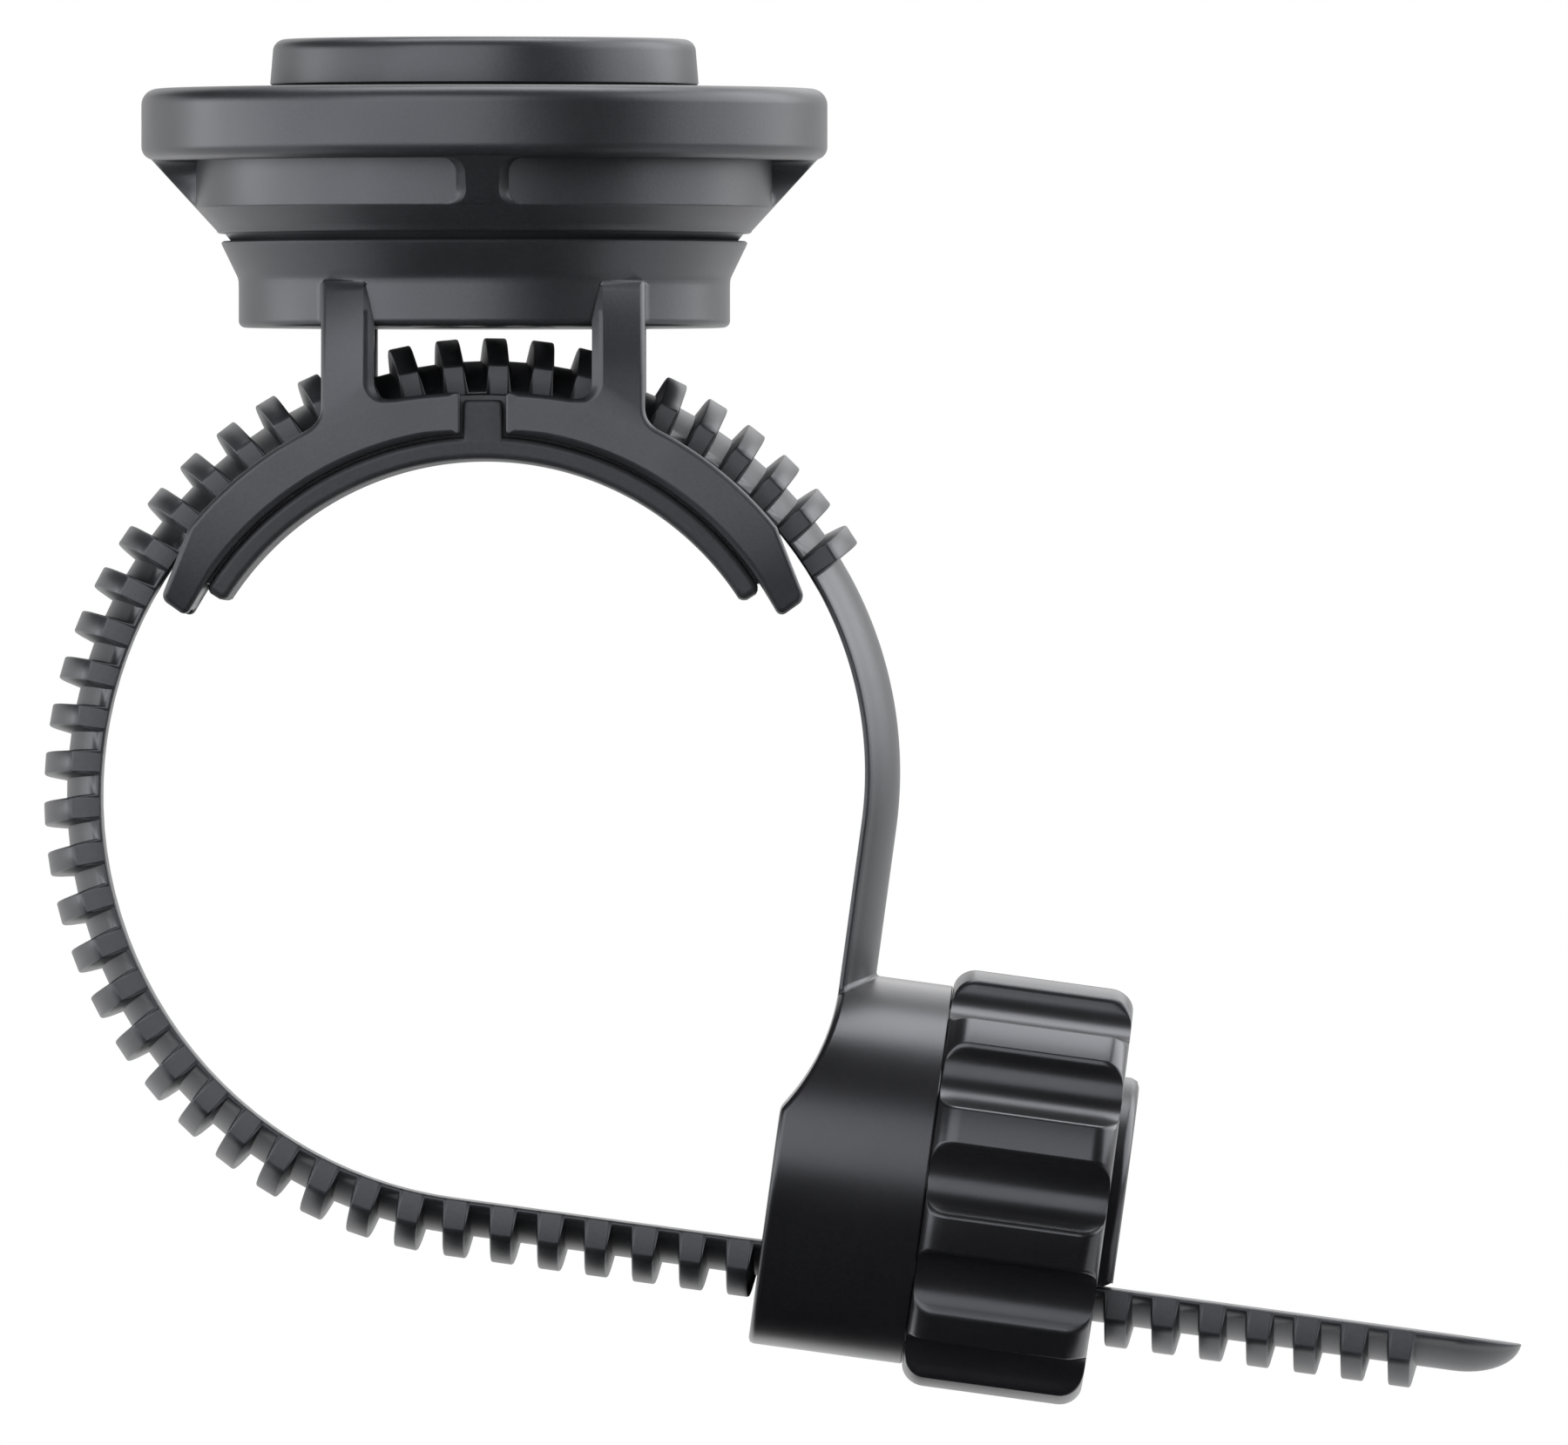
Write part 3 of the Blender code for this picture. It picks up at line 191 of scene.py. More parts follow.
@dataclass(frozen=True)
class Moulded(Finish):
    """A moulded plastic or rubber: one colour right through, with the tool's own surface.

    The mould gives an even satin skin with a fine spark-eroded grain. The melt leaves soft
    patches that are a little duller, and a slight drift of the colour.
    """

    drift_colour: str
    grain_mm: float
    grain_depth_mm: float
    patch_mm: float
    ior: float
    grain_strength: float = 1.0
    sheen_tint: str = "#F4F6FF"

    def make(self) -> bpy.types.Material:
        """Build the material's nodes.

        Returns:
            The material.
        """
        material, shader = new_material(self.name)
        tree = material.node_tree
        shader.inputs["IOR"].default_value = self.ior
        shader.inputs["Specular Tint"].default_value = linear(self.sheen_tint)
        place = add_node(tree, "ShaderNodeTexCoord").outputs["Object"]
        patch = add_node(tree, "ShaderNodeTexNoise",
                         {"Vector": place, "Scale": per_metre(self.patch_mm), "Detail": 3.0}).outputs["Fac"]
        grain = add_node(tree, "ShaderNodeTexNoise",
                         {"Vector": place, "Scale": per_metre(self.grain_mm), "Detail": 2.0,
                          "Roughness": 0.6}).outputs["Fac"]
        # Flow marks drift the colour over a few millimetres, and the grain flecks it
        flecks = add_node(tree, "ShaderNodeMath", {0: patch, 1: grain}, operation="MULTIPLY")
        low, high = FLECK_RANGE
        spread = add_node(tree, "ShaderNodeMapRange",
                          {"Value": flecks.outputs[0], "From Min": low, "From Max": high})
        # Sockets 6 and 7 of the Mix node are its two colours, and its output 2 is the mixed colour
        tint = add_node(tree, "ShaderNodeMix",
                        {0: spread.outputs[0], 6: linear(self.colour), 7: linear(self.drift_colour)},
                        data_type="RGBA")
        tree.links.new(tint.outputs[2], shader.inputs["Base Color"])
        self.surface(tree, patch, grain, self.grain_strength, self.grain_depth_mm)
        return material


@dataclass(frozen=True)
class Plated(Finish):
    """Plated steel: metal all over, with fine turning marks and slightly uneven brightness."""

    mark_mm: float
    mark_depth_mm: float
    mark_strength: float = 0.4

    def make(self) -> bpy.types.Material:
        """Build the material's nodes.

        Returns:
            The material.
        """
        material, shader = new_material(self.name)
        tree = material.node_tree
        shader.inputs["Metallic"].default_value = 1.0
        shader.inputs["Base Color"].default_value = linear(self.colour)
        place = add_node(tree, "ShaderNodeTexCoord").outputs["Object"]
        marks = add_node(tree, "ShaderNodeTexNoise",
                         {"Vector": place, "Scale": per_metre(self.mark_mm), "Detail": 4.0}).outputs["Fac"]
        self.surface(tree, marks, marks, self.mark_strength, self.mark_depth_mm)
        return material


class Palette:
    """Makes each slot's material once."""

    finishes = {
        # Glass-filled nylon from a spark-eroded mould: a dark grey satin that greys out under softboxes.
        # The real grain is about 0.03 mm, too fine to show, so it is drawn at 0.16 mm
        Slot.CHARCOAL_NYLON: Moulded("glass_filled_nylon_satin_moulded", "#17181A", 0.36, 0.44, "#212225",
                                     grain_mm=0.16, grain_depth_mm=0.004, patch_mm=7.0, ior=1.53),
        # Unfilled black nylon from a smoother mould: deeper black with clearer highlights
        Slot.BLACK_NYLON: Moulded("black_nylon_smooth_moulded", "#101012", 0.27, 0.34, "#17171A",
                                  grain_mm=0.2, grain_depth_mm=0.002, patch_mm=9.0, ior=1.53),
        # Black rubber from a blasted mould: matt, with a soft grey bloom
        Slot.BLACK_RUBBER: Moulded("black_rubber_matt_moulded", "#17181A", 0.52, 0.64, "#212224",
                                   grain_mm=0.22, grain_depth_mm=0.006, patch_mm=5.0, ior=1.5),
        # Black acetal, turned from bar: waxy, with a low soft gloss
        Slot.BLACK_ACETAL: Moulded("black_acetal_turned", "#121213", 0.38, 0.48, "#1A1A1C",
                                   grain_mm=0.3, grain_depth_mm=0.002, patch_mm=4.0, ior=1.48),
        # Bright zinc plate on turned steel: blue-grey metal with faint marks
        Slot.ZINC: Plated("steel_bright_zinc_plated", "#C4C6C8", 0.24, 0.36,
                          mark_mm=0.35, mark_depth_mm=0.003),
        # Nickel plate on ground steel and magnets: warmer and brighter than zinc
        Slot.NICKEL: Plated("steel_nickel_plated", "#D2CEC8", 0.14, 0.24,
                            mark_mm=0.5, mark_depth_mm=0.002),
    }

    def __init__(self) -> None:
        """Build every material."""
        self.materials = {slot: finish.make() for slot, finish in self.finishes.items()}

    def dress_node(self, node: str, slot: Slot) -> None:
        """Give a carried-over CAD node its material.

        Args:
            node: The node's name.
            slot: The material slot it takes.
        """
        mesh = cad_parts[node].data
        mesh.materials.clear()
        mesh.materials.append(self.materials[slot])
        LOG.info("%s keeps its CAD shape in %s", node, slot.value)


def arc(centre: Point, radius: float, start: float, end: float, steps: int) -> list[Point]:
    """Points on an arc in a plane.

    Args:
        centre: The arc's centre.
        radius: Its radius.
        start: First angle in degrees.
        end: Last angle in degrees.
        steps: Number of steps between them.

    Returns:
        The points, both ends included.
    """
    angles = [math.radians(start + (end - start) * i / steps) for i in range(steps + 1)]
    return [(centre[0] + radius * math.cos(a), centre[1] + radius * math.sin(a)) for a in angles]


def spaced(start: float, end: float, steps: int) -> list[float]:
    """Evenly spaced numbers from start to end, both included."""
    return [start + (end - start) * i / steps for i in range(steps + 1)]


def clamped(value: float) -> float:
    """The value held between 0 and 1."""
    return min(max(value, 0.0), 1.0)


def round_fall(depth: float, reach: float) -> float:
    """How far a quarter round has fallen away.

    Args:
        depth: Distance in from the round's end.
        reach: The round's radius.

    Returns:
        The fall, the radius at its end and 0 once past it.
    """
    if depth >= reach:
        return 0.0
    return reach - math.sqrt(reach ** 2 - (reach - depth) ** 2)


def on_circle(radius: float, turn: float, height: float) -> Vector:
    """The point at a radius, a turn about Z in radians, and a height."""
    return Vector((radius * math.cos(turn), radius * math.sin(turn), height))


def in_scene(name: str, data: bpy.types.ID) -> bpy.types.Object:
    """Put a new object in the scene.

    Args:
        name: Its name.
        data: Its mesh, lamp or camera.

    Returns:
        The object.
    """
    thing = bpy.data.objects.new(name, data)
    bpy.context.scene.collection.objects.link(thing)
    return thing


def skin(draft: bmesh.types.BMesh, loops: Sequence[Loop], closed: bool = True) -> None:
    """Draw faces between neighbouring loops of matching points.

    Args:
        draft: The mesh being drawn.
        loops: The loops in order.
        closed: Whether each loop's last point joins its first.
    """
    count = len(loops[0])
    for near, far in zip(loops, loops[1:]):
        for i in range(count if closed else count - 1):
            j = (i + 1) % count
            draft.faces.new((near[i], near[j], far[j], far[i]))


class Solid:
    """A closed mesh under construction, in millimetres."""

    def __init__(self, mesh: bpy.types.Mesh) -> None:
        """Hold a mesh."""
        self.mesh = mesh

    @classmethod
    def welded(cls, draft: bmesh.types.BMesh) -> "Solid":
        """Weld a draft, turn its faces outwards and keep it.

        Args:
            draft: The mesh being drawn, which is freed.

        Returns:
            The solid.
        """
        bmesh.ops.remove_doubles(draft, verts=draft.verts, dist=WELD)
        bmesh.ops.recalc_face_normals(draft, faces=draft.faces)
        mesh = bpy.data.meshes.new("solid")
        draft.to_mesh(mesh)
        draft.free()
        return cls(mesh)

    @classmethod
    def lofted(cls, rings: Sequence[Sequence[Vector]]) -> "Solid":
        """Skin closed rings of matching points and cap both ends.

        Args:
            rings: The rings in order.

        Returns:
            The solid.
        """
        draft = bmesh.new()
        loops = [[draft.verts.new(point) for point in ring] for ring in rings]
        skin(draft, loops)
        draft.faces.new(loops[0])
        draft.faces.new(loops[-1])
        return cls.welded(draft)

    @classmethod
    def slab(cls, outline: Sequence[Point], near: float, far: float) -> "Solid":
        """A plate with an outline in X and Z, from one Y to another."""
        return cls.lofted([[Vector((x, y, z)) for x, z in outline] for y in (near, far)])

    @classmethod
    def turned(cls, profile: Sequence[Point], columns: int, closed: bool) -> "Solid":
        """Turn a profile about Z.

        Args:
            profile: Its (radius, height) points.
            columns: Number of steps round the full turn.
            closed: Whether the profile is a loop; otherwise it runs from axis to axis.

        Returns:
            The solid.
        """
        turns = [math.radians(angle) for angle in spaced(0, 360, columns)[:-1]]
        return cls.wrapped([[on_circle(r, turn, z) for r, z in profile] for turn in turns], closed)

    @classmethod
    def wrapped(cls, columns: Sequence[Sequence[Vector]], closed: bool) -> "Solid":
        """Skin columns of points that stand right round an axis.

        Args:
            columns: The columns in order.
            closed: Whether each column is a loop; otherwise it runs from axis to axis.

        Returns:
            The solid.
        """
        draft = bmesh.new()
        lines = [[draft.verts.new(point) for point in column] for column in columns]
        skin(draft, lines + lines[:1], closed)
        return cls.welded(draft)

    @classmethod
    def rod(cls, radius: float, low: float, high: float, sides: int, place: Point = (0.0, 0.0)) -> "Solid":
        """A rod along Z.

        Args:
            radius: Its radius, to the corners where it has few sides.
            low: Its lower end.
            high: Its upper end.
            sides: Number of sides.
            place: X and Y of its axis.

        Returns:
            The solid.
        """
        flat = [Vector((place[0] + x, place[1] + y, 0.0)) for x, y in arc((0, 0), radius, 0, 360, sides)[:-1]]
        return cls.lofted([[p + Vector((0, 0, z)) for p in flat] for z in (low, high)])

    def placed(self, matrix: Matrix) -> "Solid":
        """Move the solid.

        Args:
            matrix: The move, in millimetres.

        Returns:
            This solid.
        """
        self.mesh.transform(matrix)
        if matrix.determinant() < 0:
            self.mesh.flip_normals()
        return self

    def copy(self) -> "Solid":
        """A copy of the solid."""
        return Solid(self.mesh.copy())

    def cut(self, *tools: "Solid") -> "Solid":
        """Cut tools out of the solid and return it."""
        return self.combined("DIFFERENCE", tools)

    def join(self, *tools: "Solid") -> "Solid":
        """Join tools on to the solid and return it."""
        return self.combined("UNION", tools)

    def combined(self, operation: str, tools: Sequence["Solid"]) -> "Solid":
        """Run Booleans one after another.

        Args:
            operation: DIFFERENCE or UNION.
            tools: The other solids, which are used up.

        Returns:
            This solid.
        """
        blank = in_scene("blank", self.mesh)
        helpers = [in_scene("blank", tool.mesh) for tool in tools]
        for helper in helpers:
            step = blank.modifiers.new(helper.name, "BOOLEAN")
            step.operation = operation
            step.solver = "MANIFOLD"
            step.object = helper
        self.mesh = self.baked(blank)
        for helper in helpers:
            bpy.data.objects.remove(helper)
        return self

    @staticmethod
    def baked(blank: bpy.types.Object) -> bpy.types.Mesh:
        """Apply an object's modifiers and remove it.

        Args:
            blank: The object.

        Returns:
            The mesh that its modifiers give.
        """
        bpy.context.view_layer.update()
        evaluated = blank.evaluated_get(bpy.context.evaluated_depsgraph_get())
        mesh = bpy.data.meshes.new_from_object(evaluated)
        bpy.data.objects.remove(blank)
        return mesh

    def finished(self, name: str, material: bpy.types.Material, weighted: bool) -> bpy.types.Object:
        """Turn the solid into a piece in metres with its material.

        Args:
            name: The piece's name.
            material: Its material.
            weighted: Whether broad faces keep their own normal, as on bevelled plates.

        Returns:
            The piece, not yet on a body.
        """
        self.mesh.transform(Matrix.Scale(MM, 4))
        self.mesh.materials.clear()
        self.mesh.materials.append(material)
        self.mesh.shade_smooth()
        self.mesh.set_sharp_from_angle(angle=math.radians(CREASE_ANGLE))
        if weighted:
            blank = in_scene("blank", self.mesh)
            even = blank.modifiers.new("even_normals", "WEIGHTED_NORMAL")
            even.keep_sharp = True
            even.weight = BROAD_WEIGHT
            self.mesh = self.baked(blank)
        self.mesh.name = name
        return in_scene(name, self.mesh)


@dataclass
class SubAssembly:
    """Pieces that are built and dressed together."""

    palette: Palette

    @staticmethod
    def take_place(piece: bpy.types.Object, node: str, slot: Slot) -> None:
        """Let a piece stand for a CAD node.

        Args:
            piece: The dressed piece.
            node: The node it stands for.
            slot: The material slot it takes; not used here.
        """
        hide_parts(node)
        LOG.info("%s stands for %s: %d faces", piece.name, node, len(piece.data.polygons))

    def fit(self, solid: Solid, name: str, node: str, slot: Slot, body: Body, weighted: bool = False) -> None:
        """Finish a solid as a piece that rides on a body.

        Args:
            solid: The solid, which is used up.
            name: The piece's name.
            node: The CAD node it stands for.
            slot: The material slot it takes.
            body: The body it rides on.
            weighted: Whether broad faces keep their own normal.
        """
        piece = solid.finished(name, self.palette.materials[slot], weighted)
        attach(piece, body.value)
        self.take_place(piece, node, slot)


@dataclass
class PhoneHead(SubAssembly):
    """The turning head: a flange on a ribbed cone, and the boss cap that the phone docks on."""

    flange_radius: float = 17.998
    flange_top: float = 35.4
    flange_round: float = 0.85
    flange_row: float = 14.0
    flange_guard: float = 0.1
    mouth_bevel: float = 0.1
    rim_bottom: float = 32.35
    rim_guard: float = 0.06
    cone_top: Point = (17.5, 31.7)
    cone_bottom: Point = (14.05, 27.95)
    cone_rows: int = 4
    cone_edge: Point = (0.05, 0.1)
    cone_foot: float = 0.16
    head_bottom: float = 27.8
    lip: tuple[float, float, float] = (13.62, 13.12, 12.65)
    lip_bottom: float = 27.2
    pocket_radius: float = 15.17
    pocket_top: float = 31.62
    pocket_rows: int = 20
    pocket_lip: float = 0.03
    pocket_guard: float = 0.05
    rib_half_width: float = 0.88
    rib_corner: float = 0.8
    rib_side: float = 0.6
    rib_count: int = 4
    rib_circle: float = 16.3
    # Mesh columns beside a rib's inner and outer edge, and where the even columns between ribs start
    rib_inner_columns: tuple[float, ...] = (-0.03, 0.0, 0.04, 0.3)
    rib_outer_columns: tuple[float, ...] = (-0.04, 0.0, 0.05, 0.3)
    even_start: float = 0.7
    even_columns: int = 15
    flare_reach: float = 7.0
    cavity_radius: float = 10.45
    cavity_floor: float = 30.2
    spigot_radius: float = 9.8
    spigot_bottom: float = 26.4
    screw_hole: float = 2.15
    nut_corner: float = 4.2147
    nut_floor: float = 27.7
    boss_radius: float = 11.25
    boss_top_radius: float = 11.1
    boss_top: float = 37.998
    boss_row: float = 6.0
    boss_bottom: float = 35.55
    boss_round: float = 0.65
    boss_draft: float = 0.01
    boss_bevel: float = 0.12
    boss_columns: int = 144
    skirt_radius: float = 10.3
    skirt_bottom: float = 33.8
    recess_radius: float = 9.7
    cap_ceiling: float = 34.9
    magnet_circle: float = 6.7
    magnet_spread: float = 24.94
    magnet_pocket: float = 2.65
    magnet_ceiling: float = 37.2
    magnet_overcut: float = 0.5
    post_circle: float = 7.4
    post_radius: float = 1.6
    post_foot: float = 30.35
    post_sink: float = 0.2
    pilot_radius: float = 0.95
    pilot_ends: Point = (30.0, 33.75)
    screw_head_hole: float = 1.65
    screw_seat: float = 27.6
    post_count: int = 3

    def cone_radius(self, height: float) -> float:
        """Radius of the cone and the ribs at a height."""
        share = (height - self.cone_bottom[1]) / (self.cone_top[1] - self.cone_bottom[1])
        return self.cone_bottom[0] + share * (self.cone_top[0] - self.cone_bottom[0])

    def pocket_bottom(self) -> float:
        """Height at which the pocket's upright wall runs out on the cone."""
        share = (self.pocket_radius - self.cone_bottom[0]) / (self.cone_top[0] - self.cone_bottom[0])
        return self.cone_bottom[1] + share * (self.cone_top[1] - self.cone_bottom[1])

    def spread(self) -> list[float]:
        """Distances of the mesh columns from a rib's middle, close together at the rib's sides.

        Returns:
            The distances in order.
        """
        inner, outer = self.rib_half_width, self.rib_half_width + self.rib_side
        end = math.pi * self.rib_circle / self.rib_count
        half = [inner / 3, 2 * inner / 3] + [inner + step for step in self.rib_inner_columns]
        half += [outer + step for step in self.rib_outer_columns]
        half += spaced(outer + self.even_start, end, self.even_columns)
        return [-a for a in reversed(half[:-1])] + [0.0] + half

    def shifted(self, aside: float, flare: float) -> float:
        """Move a mesh column so that it follows a rib's flared outline.

        Args:
            aside: Its distance from the rib's middle.
            flare: How much wider the rib is at this height.

        Returns:
            The new distance.
        """
        inner, outer = self.rib_half_width, self.rib_half_width + self.rib_side
        off = abs(aside)
        if off <= inner:
            off *= (inner + flare) / inner
        elif off <= outer:
            off += flare
        elif off < self.flare_reach:
            off += flare * (self.flare_reach - off) / (self.flare_reach - outer)
        return math.copysign(off, aside)

    def upper_profile(self) -> list[Point]:
        """The flange: its top, round rim and round lower edge.

        Returns:
            The (radius, height) points from the cavity's mouth outwards.
        """
        top, radius, corner, mouth = self.flange_top, self.flange_radius, self.flange_round, self.mouth_bevel
        points = [(self.cavity_radius, top - mouth), (self.cavity_radius + mouth, top)]
        points.append((self.flange_row, top))
        points.append((radius - corner - self.flange_guard, top))
        points += arc((radius - corner, top - corner), corner, 90, 0, ROUND_STEPS)
        points += [(radius, top - corner - self.rim_guard), (radius, self.rim_bottom + self.rim_guard)]
        fall, inset = self.rim_bottom - self.cone_top[1], radius - self.cone_top[0]
        sweep = 2 * math.degrees(math.atan2(inset, fall))
        turn = fall / math.sin(math.radians(sweep))
        return points + arc((radius - turn, self.rim_bottom), turn, 0, -sweep, ROUND_STEPS)

    def lower_profile(self) -> list[Point]:
        """The cone below the pockets, the lip that hangs in the collar, the spigot, and the cavity inside.

        Returns:
            The (radius, height) points.
        """
        radius, height = self.cone_bottom
        lip_top, lip_outer, lip_inner = self.lip
        rows = spaced(self.pocket_bottom() - self.pocket_guard, height, self.cone_rows)
        return [(self.cone_radius(row), row) for row in rows] + [
            (radius - self.cone_edge[0], height - self.cone_edge[1]),
            (radius - self.cone_foot, self.head_bottom),
            (lip_top, self.head_bottom), (lip_outer, self.lip_bottom),
            (lip_inner, self.lip_bottom), (lip_inner, self.head_bottom),
            (self.spigot_radius, self.head_bottom), (self.spigot_radius, self.spigot_bottom),
            (self.screw_hole, self.spigot_bottom), (self.screw_hole, self.cavity_floor),
            (self.cavity_radius, self.cavity_floor),
        ]

    def column(self, rib: float, aside: float) -> Ring:
        """One upright line of the head's mesh.

        Args:
            rib: Angle of the rib it belongs to, in degrees.
            aside: Its distance from the rib's middle.

        Returns:
            The points, right round the head's section.
        """
        top, bottom = self.pocket_top, self.pocket_bottom()
        share = clamped((abs(aside) - self.rib_half_width) / self.rib_side)
        points = [(r, z, 0.0) for r, z in self.upper_profile()]
        points.append((self.cone_radius(top + self.pocket_lip), top + self.pocket_lip, self.rib_corner))
        rows = self.pocket_rows
        heights = [bottom + (top - bottom) * ((1 + math.cos(math.pi * i / rows)) / 2) for i in range(rows)]
        for height in heights + [bottom + self.pocket_guard, bottom]:
            cone = self.cone_radius(height)
            from_edge = min(top - height, height - bottom)
            flare = round_fall(max(from_edge, 0.0), self.rib_corner)
            points.append((cone + (self.pocket_radius - cone) * share, height, flare))
        points += [(r, z, 0.0) for r, z in self.lower_profile()]
        return [on_circle(radius, math.radians(rib) + self.shifted(aside, flare) / self.rib_circle, height)
                for radius, height, flare in points]

    def post_places(self) -> list[Point]:
        """Where the cap's screw posts stand."""
        turn = 360 / self.post_count
        return arc((0, 0), self.post_circle, turn / 2, 360 + turn / 2, self.post_count)[:-1]

    def magnet_places(self) -> list[Point]:
        """Where the magnets sit, in pairs."""
        turns = [360 * i / self.post_count + side * self.magnet_spread
                 for i in range(self.post_count) for side in (-1, 1)]
        return [arc((0, 0), self.magnet_circle, turn, turn, 1)[0] for turn in turns]

    def build_body(self) -> None:
        """The flange and ribbed cone, with the nut and screw holes inside."""
        turn = 360 / self.rib_count
        lines = [self.column(turn * k, aside) for k in range(self.rib_count) for aside in self.spread()]
        body = Solid.wrapped(lines, closed=True)
        low, high = self.spigot_bottom - OVERCUT, self.cavity_floor + OVERCUT
        tools = [Solid.rod(self.nut_corner, self.nut_floor, high, NUT_SIDES)]
        for place in self.post_places():
            tools.append(Solid.rod(self.pilot_radius, low, high, SMALL_SIDES, place))
            tools.append(Solid.rod(self.screw_head_hole, low, self.screw_seat, HOLE_SIDES, place))
        self.fit(body.cut(*tools), "ribbed_head", "head_body", Slot.CHARCOAL_NYLON, Body.HEAD)

    def build_cap(self) -> None:
        """The boss cap, with its skirt, magnet pockets and screw posts inside."""
        corner, radius, bottom, bevel = self.boss_round, self.boss_radius, self.boss_bottom, self.boss_bevel
        rise = (self.boss_top_radius - corner, self.boss_top - corner)
        profile = [(0.0, self.boss_top), (self.boss_row, self.boss_top)]
        profile += arc(rise, corner, 90, 0, ROUND_STEPS)
        profile += [(radius - self.boss_draft, bottom + bevel), (radius - bevel, bottom)]
        profile += [(self.skirt_radius, bottom), (self.skirt_radius, self.skirt_bottom)]
        profile += [(self.recess_radius, self.skirt_bottom), (self.recess_radius, self.cap_ceiling)]
        profile.append((0.0, self.cap_ceiling))
        cap = Solid.turned(profile, self.boss_columns, closed=False)
        low = self.cap_ceiling - self.magnet_overcut
        cap.cut(*[Solid.rod(self.magnet_pocket, low, self.magnet_ceiling, POCKET_SIDES, place)
                  for place in self.magnet_places()])
        for place in self.post_places():
            high = self.cap_ceiling + self.post_sink
            cap.join(Solid.rod(self.post_radius, self.post_foot, high, HOLE_SIDES, place))
            cap.cut(Solid.rod(self.pilot_radius, *self.pilot_ends, SMALL_SIDES, place))
        self.fit(cap, "boss_dock", "boss_cap", Slot.CHARCOAL_NYLON, Body.HEAD, weighted=True)

    def build(self) -> None:
        """Build the head's shell and dress the pieces inside it."""
        self.build_body()
        self.build_cap()
        self.palette.dress_node("yoke_plate", Slot.NICKEL)
        for i in range(2 * self.post_count):
            self.palette.dress_node("magnet_" + str(i + 1), Slot.NICKEL)
        for i in range(self.post_count):
            self.palette.dress_node("cap_screw_" + str(i + 1), Slot.ZINC)
        for node in ("swivel_screw", "lock_nut", "wave_washer"):
            self.palette.dress_node(node, Slot.ZINC)


@dataclass
class PlateEdge:
    """A plate's outline, the bevel of each of its points, and the rows that split its faces."""

    points: list[Point] = field(default_factory=list)
    widths: list[float] = field(default_factory=list)
    depths: list[float] = field(default_factory=list)
    rows: list[tuple[int, int]] = field(default_factory=list)

    def add(self, points: Sequence[Point], widths: Sequence[float], depths: Sequence[float]) -> None:
        """Add points with their bevels.

        Args:
            points: The points.
            widths: Each bevel's width on the face.
            depths: Each bevel's depth on the side.
        """
        self.points += list(points)
        self.widths += list(widths)
        self.depths += list(depths)

    def plain(self, points: Sequence[Point], bevel: float) -> None:
        """Add points that share one even bevel."""
        self.add(points, [bevel] * len(points), [bevel] * len(points))

    def inward(self) -> list[Vector]:
        """Unit mitre steps into the outline.

        Returns:
            The step at each point.
        """
        count = len(self.points)
        area = sum(self.points[i][0] * self.points[(i + 1) % count][1]
                   - self.points[(i + 1) % count][0] * self.points[i][1] for i in range(count))
        turn = 1 if area > 0 else -1
        normals = []
        for i in range(count):
            step = Vector(self.points[(i + 1) % count]) - Vector(self.points[i])
            normals.append(Vector((-step.y, step.x)).normalized() * turn)
        return [(normals[i - 1] + normals[i]) / max(1 + normals[i - 1].dot(normals[i]), MITRE_LIMIT)
                for i in range(count)]


